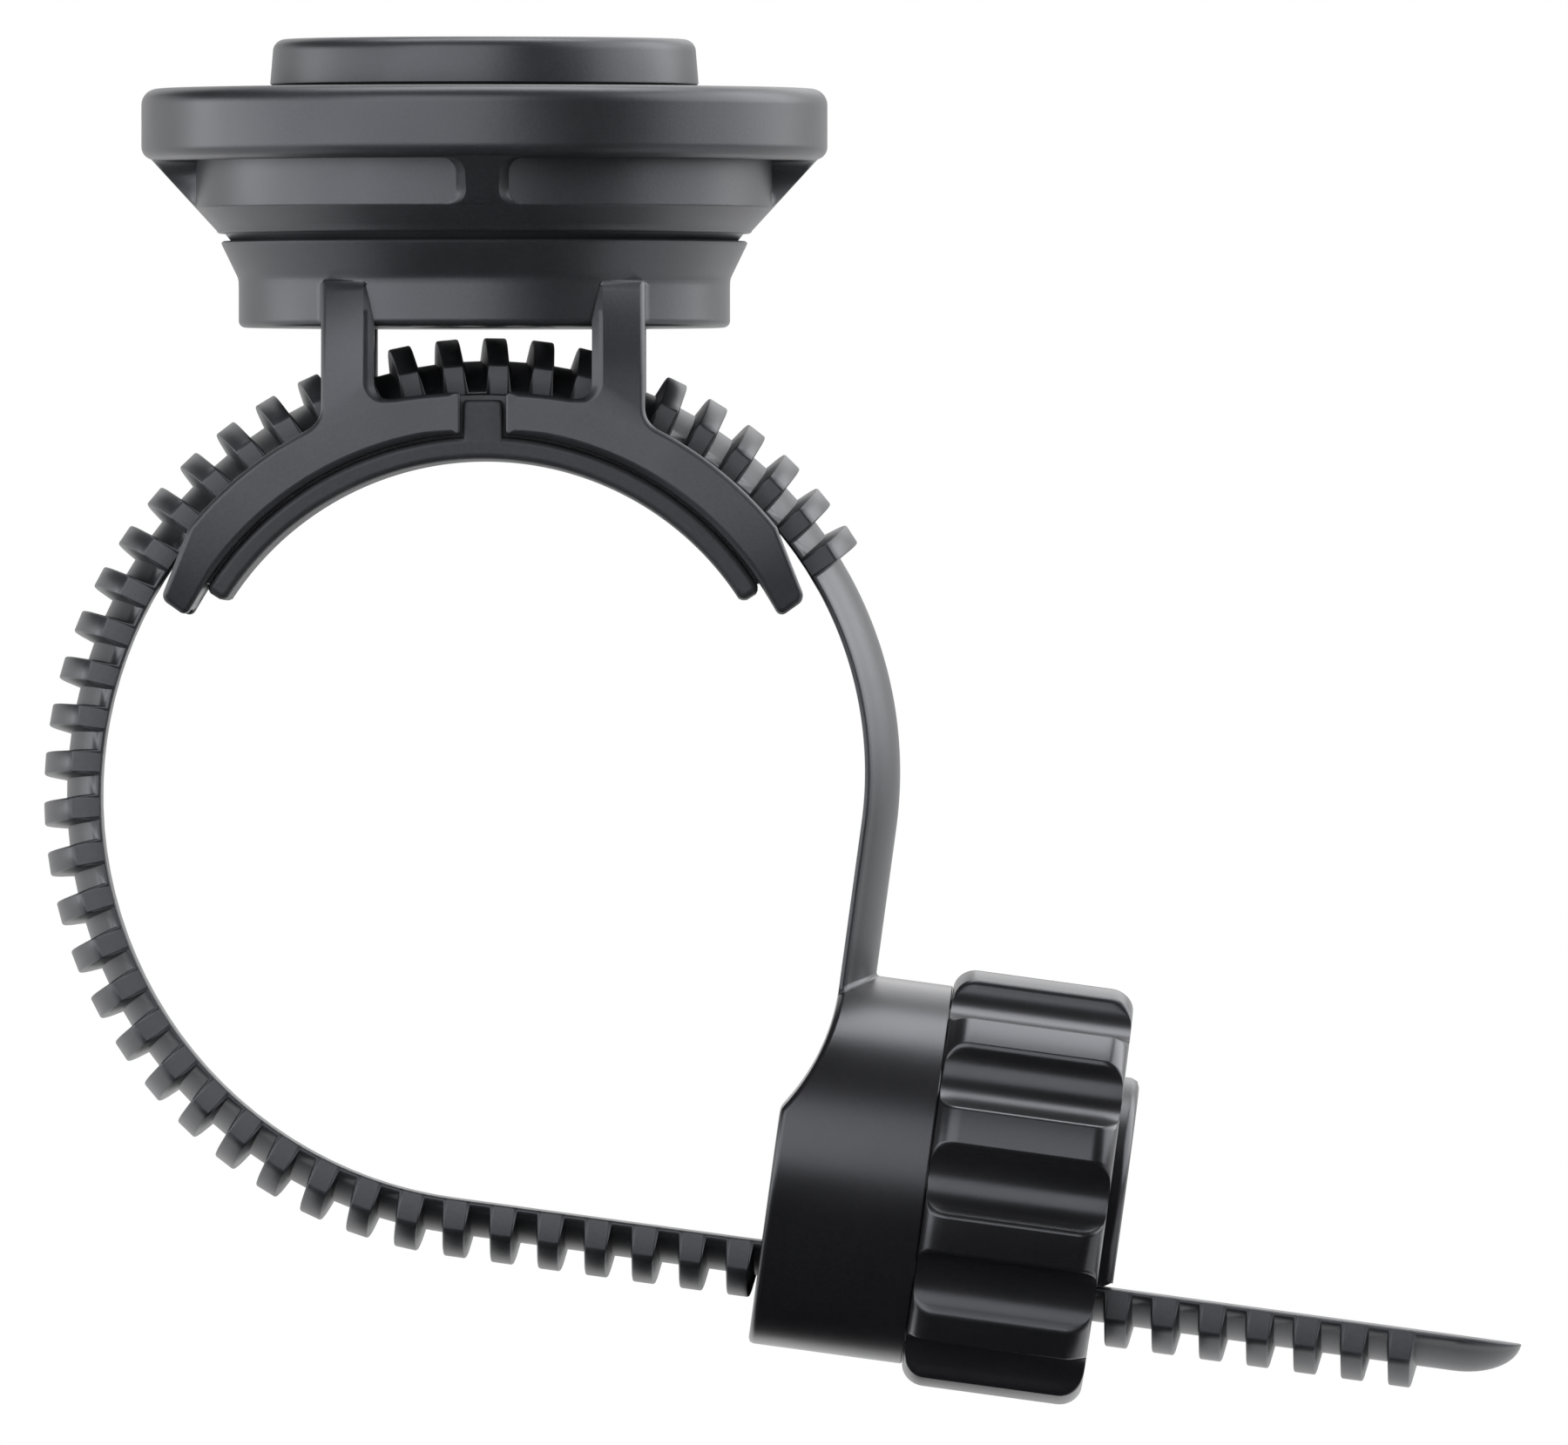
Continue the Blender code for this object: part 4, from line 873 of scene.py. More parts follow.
@dataclass
class SaddleBracket(SubAssembly):
    """The collar, four posts and arched saddle in one moulding, and the rubber pad under it."""

    half_width: float = 12.25
    plate_depth: float = 3.4
    bevel: float = 0.24
    inner_bevel: float = 0.34
    guard: float = 0.04
    back_bevel: float = 0.15
    saddle_inner: float = 17.25
    saddle_outer: float = 19.7
    outer_rows: int = 14
    inner_rows: int = 60
    bevel_rows: int = 6
    break_angle: float = 51.2
    wing_rows: int = 5
    wing_shares: Point = (0.12, 0.72)
    tip_outer: Point = (16.82, 8.62)
    tip_inner: Point = (15.5, 7.68)
    tip_rounds: Point = (0.5, 0.35)
    tip_turn: float = 4.0
    corner_steps: int = 5
    notch_half: float = 1.2
    notch_bevel: float = 0.08
    notch_round: float = 0.2
    notch_middle: float = 18.0
    notch_clear: float = 0.4
    sill_radius: float = 29.2
    sill_top: float = 19.42
    sill_ends: Point = (0.6, 1.1)
    post_inner: float = 5.69
    post_outer: float = 8.46
    post_top: float = 25.3
    post_rows: int = 12
    post_stop: float = 0.2
    post_top_bevel: float = 0.12
    post_chamfer: Point = (0.56, 0.34)
    outer_fillet: float = 1.3
    inner_fillet: float = 0.8
    fillet_start: float = 277.0
    fillet_lift: float = 0.03
    sweep_radius: float = 17.0
    turn_start: float = 16.6
    turn_end: float = 26.0
    turn_slope: float = 0.53
    turn_power: float = 1.2
    lean_start: float = 14.0
    lean_radius: float = 26.0
    arch_rows: int = 36
    arch_overlap: float = 0.35
    arch_trim: float = 0.04
    arch_drop: float = 0.45
    arch_drop_end: float = 1.0
    arch_tip_turn: float = 3.0
    tip_trim: float = 0.2
    bridge: tuple[float, float, float] = (3.5, 6.0, 0.14)
    bridge_rise: float = 1.0
    bridge_rows: int = 14
    pad_seat: float = 17.09
    seat_turns: Point = (1.0, 0.5)
    channel_half: float = 4.7
    channel_floor: float = 19.42
    channel_top: float = 26.0
    channel_turn: float = 10.0
    channel_rows: tuple[int, int] = (90, 40)
    strap_centre: Point = (0.25, -0.45)
    collar_bottom: float = 22.87
    collar_radius: float = 12.89
    collar_top: float = 27.4
    collar_top_radius: float = 13.8
    # The collar's lip down from its top and rim, its hollow about the flare's height, and its bore
    collar_lip: tuple[Point, ...] = ((0.1, 0.0), (0.0, 0.08), (0.03, 0.2), (0.06, 0.26))
    collar_flare: float = 25.5
    collar_hollow: tuple[Point, ...] = (
        (13.03, 0.18), (13.0, 0.12), (12.94, -0.02), (12.9, -0.2), (12.89, -0.5),
    )
    collar_round: float = 0.35
    collar_steps: int = 6
    collar_guard: float = 0.06
    collar_bore: tuple[Point, ...] = (
        (3.8, 22.87), (3.8, 25.26), (2.3, 25.26), (2.3, 26.1), (10.1, 26.1), (10.1, 27.0), (12.6, 27.0),
        (12.6, 27.1), (13.5, 27.1), (13.5, 27.4),
    )
    collar_columns: int = 160
    pad_inner: float = 15.9
    pad_outer: float = 17.1
    pad_half_angle: float = 58.0
    pad_half_width: float = 11.8
    pad_bevel: float = 0.36
    pad_rows: int = 72
    pad_corner: float = 0.3
    # Radial insets of the points round a pad's end, and how many degrees they stand back
    pad_end: tuple[Point, ...] = ((0.12, 0.4), (0.32, 0.0))
    tab_half: float = 1.04
    tab_top: float = 19.0
    tab_depth: float = 2.2
    tab_round: float = 0.2
    tab_round_middle: float = 0.06
    tab_set_back: float = 0.02
    tab_sink: float = 0.6

    def sill(self, x: float) -> float:
        """Height of the plate's low sill between the posts."""
        return self.sill_top - self.sill_radius + math.sqrt(self.sill_radius ** 2 - x ** 2)

    def retreat(self, x: float, height: float) -> float:
        """How far the front face lies back at a point.

        Each post curves back to the collar and turns to face outwards with it, and the wings lean
        back towards their tips.

        Args:
            x: Distance from the middle.
            height: Height of the point.

        Returns:
            The distance back from the flat of the face.
        """
        rise = max(height - self.saddle_outer, 0.0)
        back = self.sweep_radius - math.sqrt(self.sweep_radius ** 2 - rise ** 2)
        share = clamped((height - self.turn_start) / (self.turn_end - self.turn_start))
        aside = max(x - self.post_inner - self.post_chamfer[0], 0.0)
        return back + self.turn_slope * share ** self.turn_power * aside + self.lean(height)

    def lean(self, height: float) -> float:
        """How far a wing leans back at a height."""
        drop = max(self.lean_start - height, 0.0)
        return self.lean_radius - math.sqrt(self.lean_radius ** 2 - drop ** 2)

    def rounded(self, corner: Point, before: Point, after: Point, radius: float) -> list[Point]:
        """Round a corner of an outline.

        Args:
            corner: The corner.
            before: A point on the way in.
            after: A point on the way out.
            radius: The round's radius.

        Returns:
            Points from the way in to the way out.
        """
        tip = Vector(corner)
        come, leave = (Vector(before) - tip).normalized(), (Vector(after) - tip).normalized()
        half = come.angle(leave) / 2
        reach = radius / math.tan(half)
        centre = tip + (come + leave).normalized() * radius / math.sin(half)
        first, last = tip + come * reach - centre, tip + leave * reach - centre
        turn = first.angle_signed(last)
        points = []
        for share in spaced(0, 1, self.corner_steps):
            c, s = math.cos(-turn * share), math.sin(-turn * share)
            points.append((centre.x + first.x * c - first.y * s, centre.y + first.x * s + first.y * c))
        return points

    def half_plate(self) -> PlateEdge:
        """Outline of the right half of a face plate: its post, its wing and its side of the notch.

        Returns:
            The outline.
        """
        edge = PlateEdge()
        bevel, notch, upright = self.bevel, self.notch_half, (self.notch_half, self.notch_middle)
        wide, deep = self.post_chamfer
        corner, along_sill = (notch, self.sill(notch)), (notch + 1, self.sill(notch + 1))
        edge.plain(self.rounded(corner, upright, along_sill, self.notch_round), self.notch_bevel)
        first_sill = len(edge.points)
        start, stop = notch + self.sill_ends[0], self.post_inner - self.sill_ends[1]
        edge.plain([(x, self.sill(x)) for x in spaced(start, stop, ROUND_STEPS)], bevel)
        first_foot = len(edge.points)
        fillet = self.inner_fillet
        centre = (self.post_inner - fillet, self.sill(self.post_inner - fillet) + fillet + self.fillet_lift)
        foot = arc(centre, fillet, self.fillet_start, 360, ROUND_STEPS)
        grow = spaced(0, 1, ROUND_STEPS)
        edge.add(foot, [bevel + (wide - bevel) * g for g in grow], [bevel + (deep - bevel) * g for g in grow])
        post = spaced(foot[-1][1], self.post_top - self.post_stop, self.post_rows)[1:]
        first_row = len(edge.points)
        edge.add([(self.post_inner, z) for z in post], [wide] * len(post), [deep] * len(post))
        top, end = self.post_top, self.post_top_bevel
        edge.plain([(self.post_inner + end, top), (self.post_outer - end, top)], end)
        last_row = len(edge.points) + len(post) - 1
        edge.plain([(self.post_outer, z) for z in reversed(post)], bevel)
        edge.rows += [(first_row + i, last_row - i) for i in range(len(post))]
        outer_x = self.post_outer + self.outer_fillet
        outer_z = math.sqrt((self.saddle_outer + self.outer_fillet) ** 2 - outer_x ** 2)
        lean = math.degrees(math.atan2(outer_z, outer_x))
        edge.plain(arc((outer_x, outer_z), self.outer_fillet, 180, 180 + lean, ROUND_STEPS), bevel)
        first_outer = len(edge.points) - 1
        edge.rows += [(first_foot + i, first_outer - i) for i in range(len(foot))]
        edge.plain(arc((0, 0), self.saddle_outer, lean, 90 - self.break_angle, self.outer_rows)[1:], bevel)
        shoulder = edge.points[-1]
        edge.plain([(shoulder[0] + (self.tip_outer[0] - shoulder[0]) * share,
                     shoulder[1] + (self.tip_outer[1] - shoulder[1]) * share)
                    for share in spaced(*self.wing_shares, self.wing_rows)], bevel)
        last_outer = len(edge.points)
        edge.plain(self.rounded(self.tip_outer, shoulder, self.tip_inner, self.tip_rounds[0]), bevel)
        rows = self.inner_rows
        first = math.degrees(math.atan2(self.tip_inner[1], self.tip_inner[0])) + self.tip_turn
        beyond = arc((0, 0), self.saddle_inner, first, first, 1)[0]
        edge.plain(self.rounded(self.tip_inner, self.tip_outer, beyond, self.tip_rounds[1]), bevel)
        last = math.degrees(math.acos((notch + self.notch_clear) / self.saddle_inner))
        first_inner = len(edge.points)
        broad = [bevel + (self.inner_bevel - bevel) * clamped(min(i, rows - i) / self.bevel_rows)
                 for i in range(rows + 1)]
        edge.add(arc((0, 0), self.saddle_inner, first, last, rows), broad, broad)
        edge.rows += [(last_outer + i, first_inner - 1 - i) for i in range(self.corner_steps)]
        for i in [*range(first_sill, first_foot + 1), *range(first_outer, last_outer)]:
            angle = math.degrees(math.atan2(edge.points[i][1], edge.points[i][0]))
            step = round((angle - first) / (last - first) * rows)
            if 0 < step < rows:
                edge.rows.append((i, first_inner + step))
        floor = (notch, math.sqrt(self.saddle_inner ** 2 - notch ** 2))
        edge.plain(self.rounded(floor, edge.points[-1], upright, self.notch_round), self.notch_bevel)
        return edge

    def plate_solid(self, edge: PlateEdge) -> Solid:
        """Extrude an outline with bevelled edges, swept back where it rises to the collar.

        Args:
            edge: The outline and its bevels.

        Returns:
            The right half of the front plate.
        """
        front, back, guard = -self.half_width, -self.half_width + self.plate_depth, self.guard
        mitres = edge.inward()
        draft = bmesh.new()
        layers = []
        # Guard strips on the face and the side, next to the bevel, keep the shading of both flat
        for row, on_face, on_side in ((0, guard, 0), (0, 0, 0), (1, 0, 0), (2, 0, 0), (2, 0, guard)):
            loop = []
            for i, (x, z) in enumerate(edge.points):
                width, depth = edge.widths[i], edge.depths[i]
                middle = FLAT_SHARE if abs(width - depth) > CHAMFER_EXCESS else ROUND_SHARE
                inset = width * (1.0, middle, 0.0)[row] + on_face
                sink = depth * (0.0, middle, 1.0)[row] + on_side
                place = Vector((x, z)) + mitres[i] * inset
                y = front + sink + self.retreat(place.x, place.y)
                loop.append(draft.verts.new((place.x, y, place.y)))
            layers.append(loop)
        for inset, sink in ((0.0, self.back_bevel), (self.back_bevel, 0.0)):
            layers.append([draft.verts.new((x + mitres[i].x * inset, back - sink, z + mitres[i].y * inset))
                           for i, (x, z) in enumerate(edge.points)])
        skin(draft, layers)
        for loop in (layers[0], layers[-1]):
            draft.faces.new(loop)
            for inner, outer in edge.rows:
                ends = (loop[inner], loop[outer])
                face = next(f for f in ends[0].link_faces if f in ends[1].link_faces and len(f.verts) > 4)
                bmesh.utils.face_split(face, *ends)
        return Solid.welded(draft)

    def arch_solid(self) -> Solid:
        """The middle of the saddle between the face plates, with the strap's channel across its top.

        Returns:
            The arch.
        """
        trim, rows = self.arch_trim, self.arch_rows
        half = self.half_width - self.plate_depth + self.arch_overlap
        outline = []
        for x, z in arc((0, 0), self.saddle_outer - trim, 90 - self.break_angle, 90, rows):
            drop = self.arch_drop if x < self.post_inner - self.arch_drop_end else trim
            outline.append((x, min(z, self.sill(x) - drop) if x < self.post_outer else z))
        tip_outer, tip_inner = [(x - self.tip_trim, z + self.tip_trim)
                                for x, z in (self.tip_outer, self.tip_inner)]
        inner_angle = math.degrees(math.atan2(self.tip_inner[1], self.tip_inner[0])) + self.arch_tip_turn
        seat_end = 90 - self.pad_half_angle + self.seat_turns[0]
        under = arc((0, 0), self.saddle_inner + trim, inner_angle, seat_end, 1)
        under += arc((0, 0), self.pad_seat, seat_end + self.seat_turns[1], 90, rows)
        tip = self.rounded(tip_inner, under[0], tip_outer, self.tip_rounds[1])
        tip += self.rounded(tip_outer, tip_inner, outline[0], self.tip_rounds[0])
        right = under[::-1] + tip + outline
        arch = Solid.slab(right[1:-1] + [(-x, z) for x, z in reversed(right)], -half, half)
        # A low bridge inside, out of the light, closes the view between the tab and the strap
        reach, depth, drop = self.bridge
        low = self.pad_seat + self.bridge_rise
        bridge = [(reach, low), (-reach, low)]
        bridge += [(x, self.sill(x) - drop) for x in spaced(-reach, reach, self.bridge_rows)]
        arch.join(Solid.slab(bridge, -depth, depth))
        start, end = -self.channel_turn, 180 + self.channel_turn
        channel = arc(self.strap_centre, self.channel_floor, start, end, self.channel_rows[0])
        channel += arc(self.strap_centre, self.channel_top, end, start, self.channel_rows[1])
        return arch.cut(Solid.slab(channel, -self.channel_half, self.channel_half))

    def collar_solid(self) -> Solid:
        """The flared collar that the head turns in.

        Returns:
            The collar.
        """
        radius, bottom, corner = self.collar_radius, self.collar_bottom, self.collar_round
        profile = [self.collar_bore[-1]]
        profile += [(self.collar_top_radius - inset, self.collar_top - drop)
                    for inset, drop in self.collar_lip]
        profile += [(r, self.collar_flare + rise) for r, rise in self.collar_hollow]
        profile.append((radius, bottom + corner + self.collar_guard))
        profile += arc((radius - corner, bottom + corner), corner, 0, -90, self.collar_steps)
        profile += [(radius - corner - self.collar_guard, bottom), *self.collar_bore[:-1]]
        return Solid.turned(profile, self.collar_columns, closed=True)

    def build_bracket(self) -> None:
        """Join the plates, the middle arch and the collar."""
        half = self.plate_solid(self.half_plate())
        flips = [(1, 1), (-1, 1), (1, -1), (-1, -1)]
        plates = [half.copy().placed(Matrix.Diagonal((x, y, 1, 1))) for x, y in flips]
        bracket = self.arch_solid().join(*plates, self.collar_solid())
        self.fit(bracket, "saddle_moulding", "saddle_bracket", Slot.CHARCOAL_NYLON, Body.BRACKET)

    def pad_edge(self) -> PlateEdge:
        """Outline of the pad, with small rounds at its four corners.

        Returns:
            The outline, with the pad's own bevel all round.
        """
        low, high = 90 - self.pad_half_angle, 90 + self.pad_half_angle
        turn = math.degrees(self.pad_corner / self.pad_outer)
        edge = PlateEdge()
        for radius, start, end in ((self.pad_outer, low, high), (self.pad_inner, high, low)):
            side = 1 if end > start else -1
            opposite = self.pad_inner + self.pad_outer - radius
            edge.plain(arc((0, 0), radius, start + side * turn, end - side * turn, self.pad_rows),
                       self.pad_bevel)
            ends = [(radius - side * inset, back) for inset, back in self.pad_end]
            ends += [(opposite + side * inset, back) for inset, back in reversed(self.pad_end)]
            edge.plain([arc((0, 0), r, end - side * back, end, 1)[0] for r, back in ends], self.pad_bevel)
        return edge

    def build_pad(self) -> None:
        """The rubber pad, rounded along its edges, with a tab up through each notch."""
        edge, bevel = self.pad_edge(), self.pad_bevel
        mitres = edge.inward()
        rings = []
        for inset, sink in ((1.0, 0.0), (ROUND_SHARE, ROUND_SHARE), (0.0, 1.0)):
            rings.append([Vector((x + mitres[i].x * bevel * inset,
                                  -self.pad_half_width + bevel * sink + self.lean(z),
                                  z + mitres[i].y * bevel * inset))
                          for i, (x, z) in enumerate(edge.points)])
        rings += [[Vector((p.x, -p.y, p.z)) for p in ring] for ring in reversed(rings)]
        pad = Solid.lofted(rings)
        for side in (-1, 1):
            pad.join(self.tab_solid(side))
        self.fit(pad, "grip_pad", "saddle_pad", Slot.BLACK_RUBBER, Body.BRACKET, weighted=True)

    def tab_solid(self, side: int) -> Solid:
        """One tab of the pad, with rounded edges on its outer face.

        Args:
            side: 1 for the tab at the back and -1 for the one in front.

        Returns:
            The tab.
        """
        corner, middle, face = self.tab_round, self.tab_round_middle, self.pad_half_width
        rings = [self.tab_ring(inset, side * (face - (sink + self.tab_set_back)))
                 for inset, sink in ((corner, 0.0), (middle, middle), (0.0, corner))]
        rings.append(self.tab_ring(0.0, side * (face - self.tab_depth)))
        return Solid.lofted(rings)

    def tab_ring(self, inset: float, y: float) -> Ring:
        """One section of a tab.

        Args:
            inset: How far it is drawn in.
            y: Where it stands.

        Returns:
            The ring.
        """
        half, top, low = self.tab_half - inset, self.tab_top - inset, self.pad_outer - self.tab_sink
        corner, middle = self.tab_round, self.tab_round_middle
        right = [(half, low), (half, top - corner), (half - middle, top - middle), (half - corner, top)]
        outline = [(-half, low)] + right + [(-x, z) for x, z in reversed(right[1:])]
        return [Vector((x, y, z)) for x, z in outline]

    def build(self) -> None:
        """Build the bracket and its pad and dress the washer between collar and head."""
        self.build_bracket()
        self.build_pad()
        self.palette.dress_node("slip_washer", Slot.BLACK_ACETAL)


@dataclass
class StrapPath:
    """The line of the strap: a tail, a left arc, a top arc and a straight neck."""

    centre_x: float = 0.25
    centre_z: float = -0.45
    top_radius: float = 19.72
    left_slack: float = 1.6
    join_angle: float = 129.6
    tail_tilt: float = 7.8
    axis_height: float = 4.58
    # Where each stretch of the loop ends, and the radius at which its teeth keep their pitch
    stretches: tuple[Point, ...] = ((176.0, 22.95), (129.6, 23.68), (83.0, 22.42), (-7.8, 23.12))

    def __post_init__(self) -> None:
        """Work out the arcs' centres and lengths."""
        tilt = math.radians(self.tail_tilt)
        self.along = Vector((math.cos(tilt), 0.0, -math.sin(tilt)))
        self.across = Vector((math.sin(tilt), 0.0, math.cos(tilt)))
        self.top_centre = Vector((self.centre_x, 0.0, self.centre_z))
        self.left_radius = self.top_radius + self.left_slack
        self.left_centre = self.top_centre - self.direction(self.join_angle) * self.left_slack
        self.tail_start = self.left_centre - self.across * self.left_radius
        self.neck_along = (self.top_centre - self.tail_start).dot(self.along) + self.top_radius
        self.starts = [270 - self.tail_tilt] + [end for end, pitch in self.stretches]
        self.neck_start = -sum(pitch * math.radians(start - end)
                               for start, (end, pitch) in zip(self.starts, self.stretches))

    @staticmethod
    def direction(degrees: float) -> Vector:
        """Unit vector at an angle from +X towards +Z."""
        return Vector((math.cos(math.radians(degrees)), 0.0, math.sin(math.radians(degrees))))

    def place(self, s: float) -> tuple[Vector, Vector]:
        """A point on the strap's inner face and the outward normal there.

        Args:
            s: Distance along the teeth, 0 where the tail leaves the loop.

        Returns:
            The point and the normal.
        """
        if s >= 0:
            return self.tail_start + self.along * s, -self.across
        for start, (end, pitch) in zip(self.starts, self.stretches):
            length = pitch * math.radians(start - end)
            if s >= -length:
                normal = self.direction(start + math.degrees(s / pitch))
                if end >= self.join_angle:
                    return self.left_centre + normal * self.left_radius, normal
                return self.top_centre + normal * self.top_radius, normal
            s += length
        return self.top_centre + self.along * self.top_radius + self.across * s, self.along

    def screw_frame(self) -> Matrix:
        """Frame of the knob's axis: Z along the tail and X towards the strap's teeth."""
        turn = Matrix.Rotation(math.pi / 2 + math.radians(self.tail_tilt), 4, "Y")
        return Matrix.Translation(self.tail_start + self.across * self.axis_height) @ turn


@dataclass
class Strap(SubAssembly):
    """The toothed strap: half round outside, flat inside, with a pointed tail and a plain neck."""

    path: StrapPath
    half_width: float = 4.4
    edge: float = 0.3
    root_radius: float = 6.43
    tooth_height: float = 1.2
    pitch: float = 2.5
    phase: float = 0.5
    first_tooth: int = -37
    last_tooth: int = 20
    band_start: float = -93.9
    tip_start: float = 53.0
    tip_plain: float = 0.2
    tip_taper: float = 3.33
    tip_width: float = 3.5
    tip_turn: float = 86.0
    tip_rows: int = 16
    block_radius: float = 10.0
    neck_fillet: float = 0.2
    neck_sink: float = 0.3
    neck_follow: float = 4.0
    neck_rows: tuple[int, int] = (40, 10)
    flare_width: float = 0.6
    flare_height: float = 0.6
    # This much of the neck keeps its curve, because slipping the strap draws it into the saddle's channel
    bend_clear: float = 9.5
    # Bevels of the strap's sides, each with the largest share of the side that it takes
    side_bevel: Point = (0.14, 0.35)
    side_foot: Point = (0.1, 0.3)
    bevel_inset: float = 0.6
    flat_steps: int = 6
    across_steps: int = 26
    tooth_shape: tuple[Point, ...] = (
        (-0.76, 0.0), (-0.72, 0.05), (-0.575, 0.9), (-0.553, 0.965), (-0.49, 1.0),
        (0.49, 1.0), (0.553, 0.965), (0.575, 0.9), (0.72, 0.05), (0.76, 0.0),
    )

    def crown(self, y: float, radius: float) -> float:
        """Thickness of the strap at a distance from its middle, for a round of a given radius."""
        return max(math.sqrt(max(radius ** 2 - y ** 2, 0.0)) - self.path.axis_height, self.edge)

    def section(self, radius: float, width: float = 1.0, thickness: float = 1.0) -> list[Point]:
        """One section as (y, height) points, round its outer side and back along its flat.

        Args:
            radius: Radius of its round side.
            width: Share of the full width.
            thickness: Share of the full thickness.

        Returns:
            The points.
        """
        half = self.half_width
        side = self.crown(half, radius)
        bevel, foot = [min(size, share * side) for size, share in (self.side_bevel, self.side_foot)]
        points = [(share * (half - foot), 0.0) for share in spaced(-1, 1, self.flat_steps)]
        points += [(half, foot), (half, side - bevel)]
        for share in spaced(1, -1, self.across_steps):
            y = share * (half - self.bevel_inset * bevel)
            points.append((y, self.crown(y, radius)))
        points += [(-half, side - bevel), (-half, foot)]
        return [(y * width, h * thickness) for y, h in points]

    def ring(self, s: float, points: Sequence[Point], skewed: bool) -> Ring:
        """Place a section on the path; teeth are skewed to the screw thread's helix.

        Args:
            s: Distance along the path.
            points: The section.
            skewed: Whether it follows the helix.

        Returns:
            The ring in space.
        """
        ring = []
        for y, height in points:
            turn = math.atan2(y, self.path.axis_height + height) / (2 * math.pi) if skewed else 0.0
            inner, normal = self.path.place(s + turn * self.pitch)
            place = inner + normal * height
            ring.append(Vector((place.x, y, place.z)))
        return ring

    def build_band(self) -> None:
        """The toothed band with its tail."""
        root = self.section(self.root_radius)
        rings = [self.ring(self.band_start, root, False)]
        for k in range(self.first_tooth, self.last_tooth + 1):
            middle = self.phase + k * self.pitch
            for shift, share in self.tooth_shape:
                points = self.section(self.root_radius + share * self.tooth_height)
                rings.append(self.ring(middle + shift, points, True))
        rings.append(self.ring(self.tip_start, root, False))
        blunt = self.tip_width / (2 * self.half_width)
        for turn in spaced(0, self.tip_turn, self.tip_rows):
            fall = math.cos(math.radians(turn))
            s = self.tip_start + self.tip_plain + self.tip_taper * math.sin(math.radians(turn))
            points = self.section(self.root_radius, blunt + (1 - blunt) * fall, fall)
            rings.append(self.ring(s, points, False))
        band = Solid.lofted(rings)
        self.fit(band, "toothed_band", "strap_band", Slot.CHARCOAL_NYLON, Body.STRAP, weighted=True)

    def neck_ring(self, s: float, rise: float) -> Ring:
        """A section of the neck, which flares and follows the round block near its foot.

        Args:
            s: Distance along the path.
            rise: Height above the block's top line.

        Returns:
            The ring in space.
        """
        flare = round_fall(max(rise, 0.0), self.neck_fillet)
        follow = clamped(1 - rise / self.neck_follow) ** 2
        ring = []
        inner, normal = self.path.place(s)
        for y, height in self.section(self.root_radius):
            wide = y * (1 + self.flare_width * flare / self.half_width)
            drop = follow * (self.block_radius - math.sqrt(self.block_radius ** 2 - wide ** 2))
            thick = height + flare * clamped(height / self.flare_height)
            place = inner + normal * thick - self.path.across * drop
            ring.append(Vector((place.x, wide, place.z)))
        return ring

    def build_neck(self) -> None:
        """The plain neck, built as one fixed piece, though the real neck bends as the clamp is drawn along
        the tail.
        """
        path, slot = self.path, Slot.CHARCOAL_NYLON
        to_block = (path.top_centre - path.tail_start).dot(path.across) - path.axis_height - self.block_radius
        foot = path.neck_start - to_block
        stations = spaced(self.band_start, path.neck_start, self.neck_rows[0])
        stations += spaced(path.neck_start, foot + self.neck_fillet, self.neck_rows[1])[1:]
        turns = [math.radians(angle) for angle in spaced(0, 90, ROUND_STEPS)[1:]]
        stations += [foot + self.neck_fillet * math.cos(turn) ** 2 for turn in turns]
        stations.append(foot - self.neck_sink)
        neck = Solid.lofted([self.neck_ring(s, s - foot) for s in stations])
        piece = neck.finished("plain_neck", self.palette.materials[slot], weighted=False)
        upper = path.place(self.band_start - self.bend_clear)[0] * MM
        lower = path.place(foot + self.neck_sink)[0] * MM
        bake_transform(piece)
        self.take_place(piece, "strap_neck", slot)

    def build(self) -> None:
        """Build the band and the neck."""
        self.build_band()
        self.build_neck()


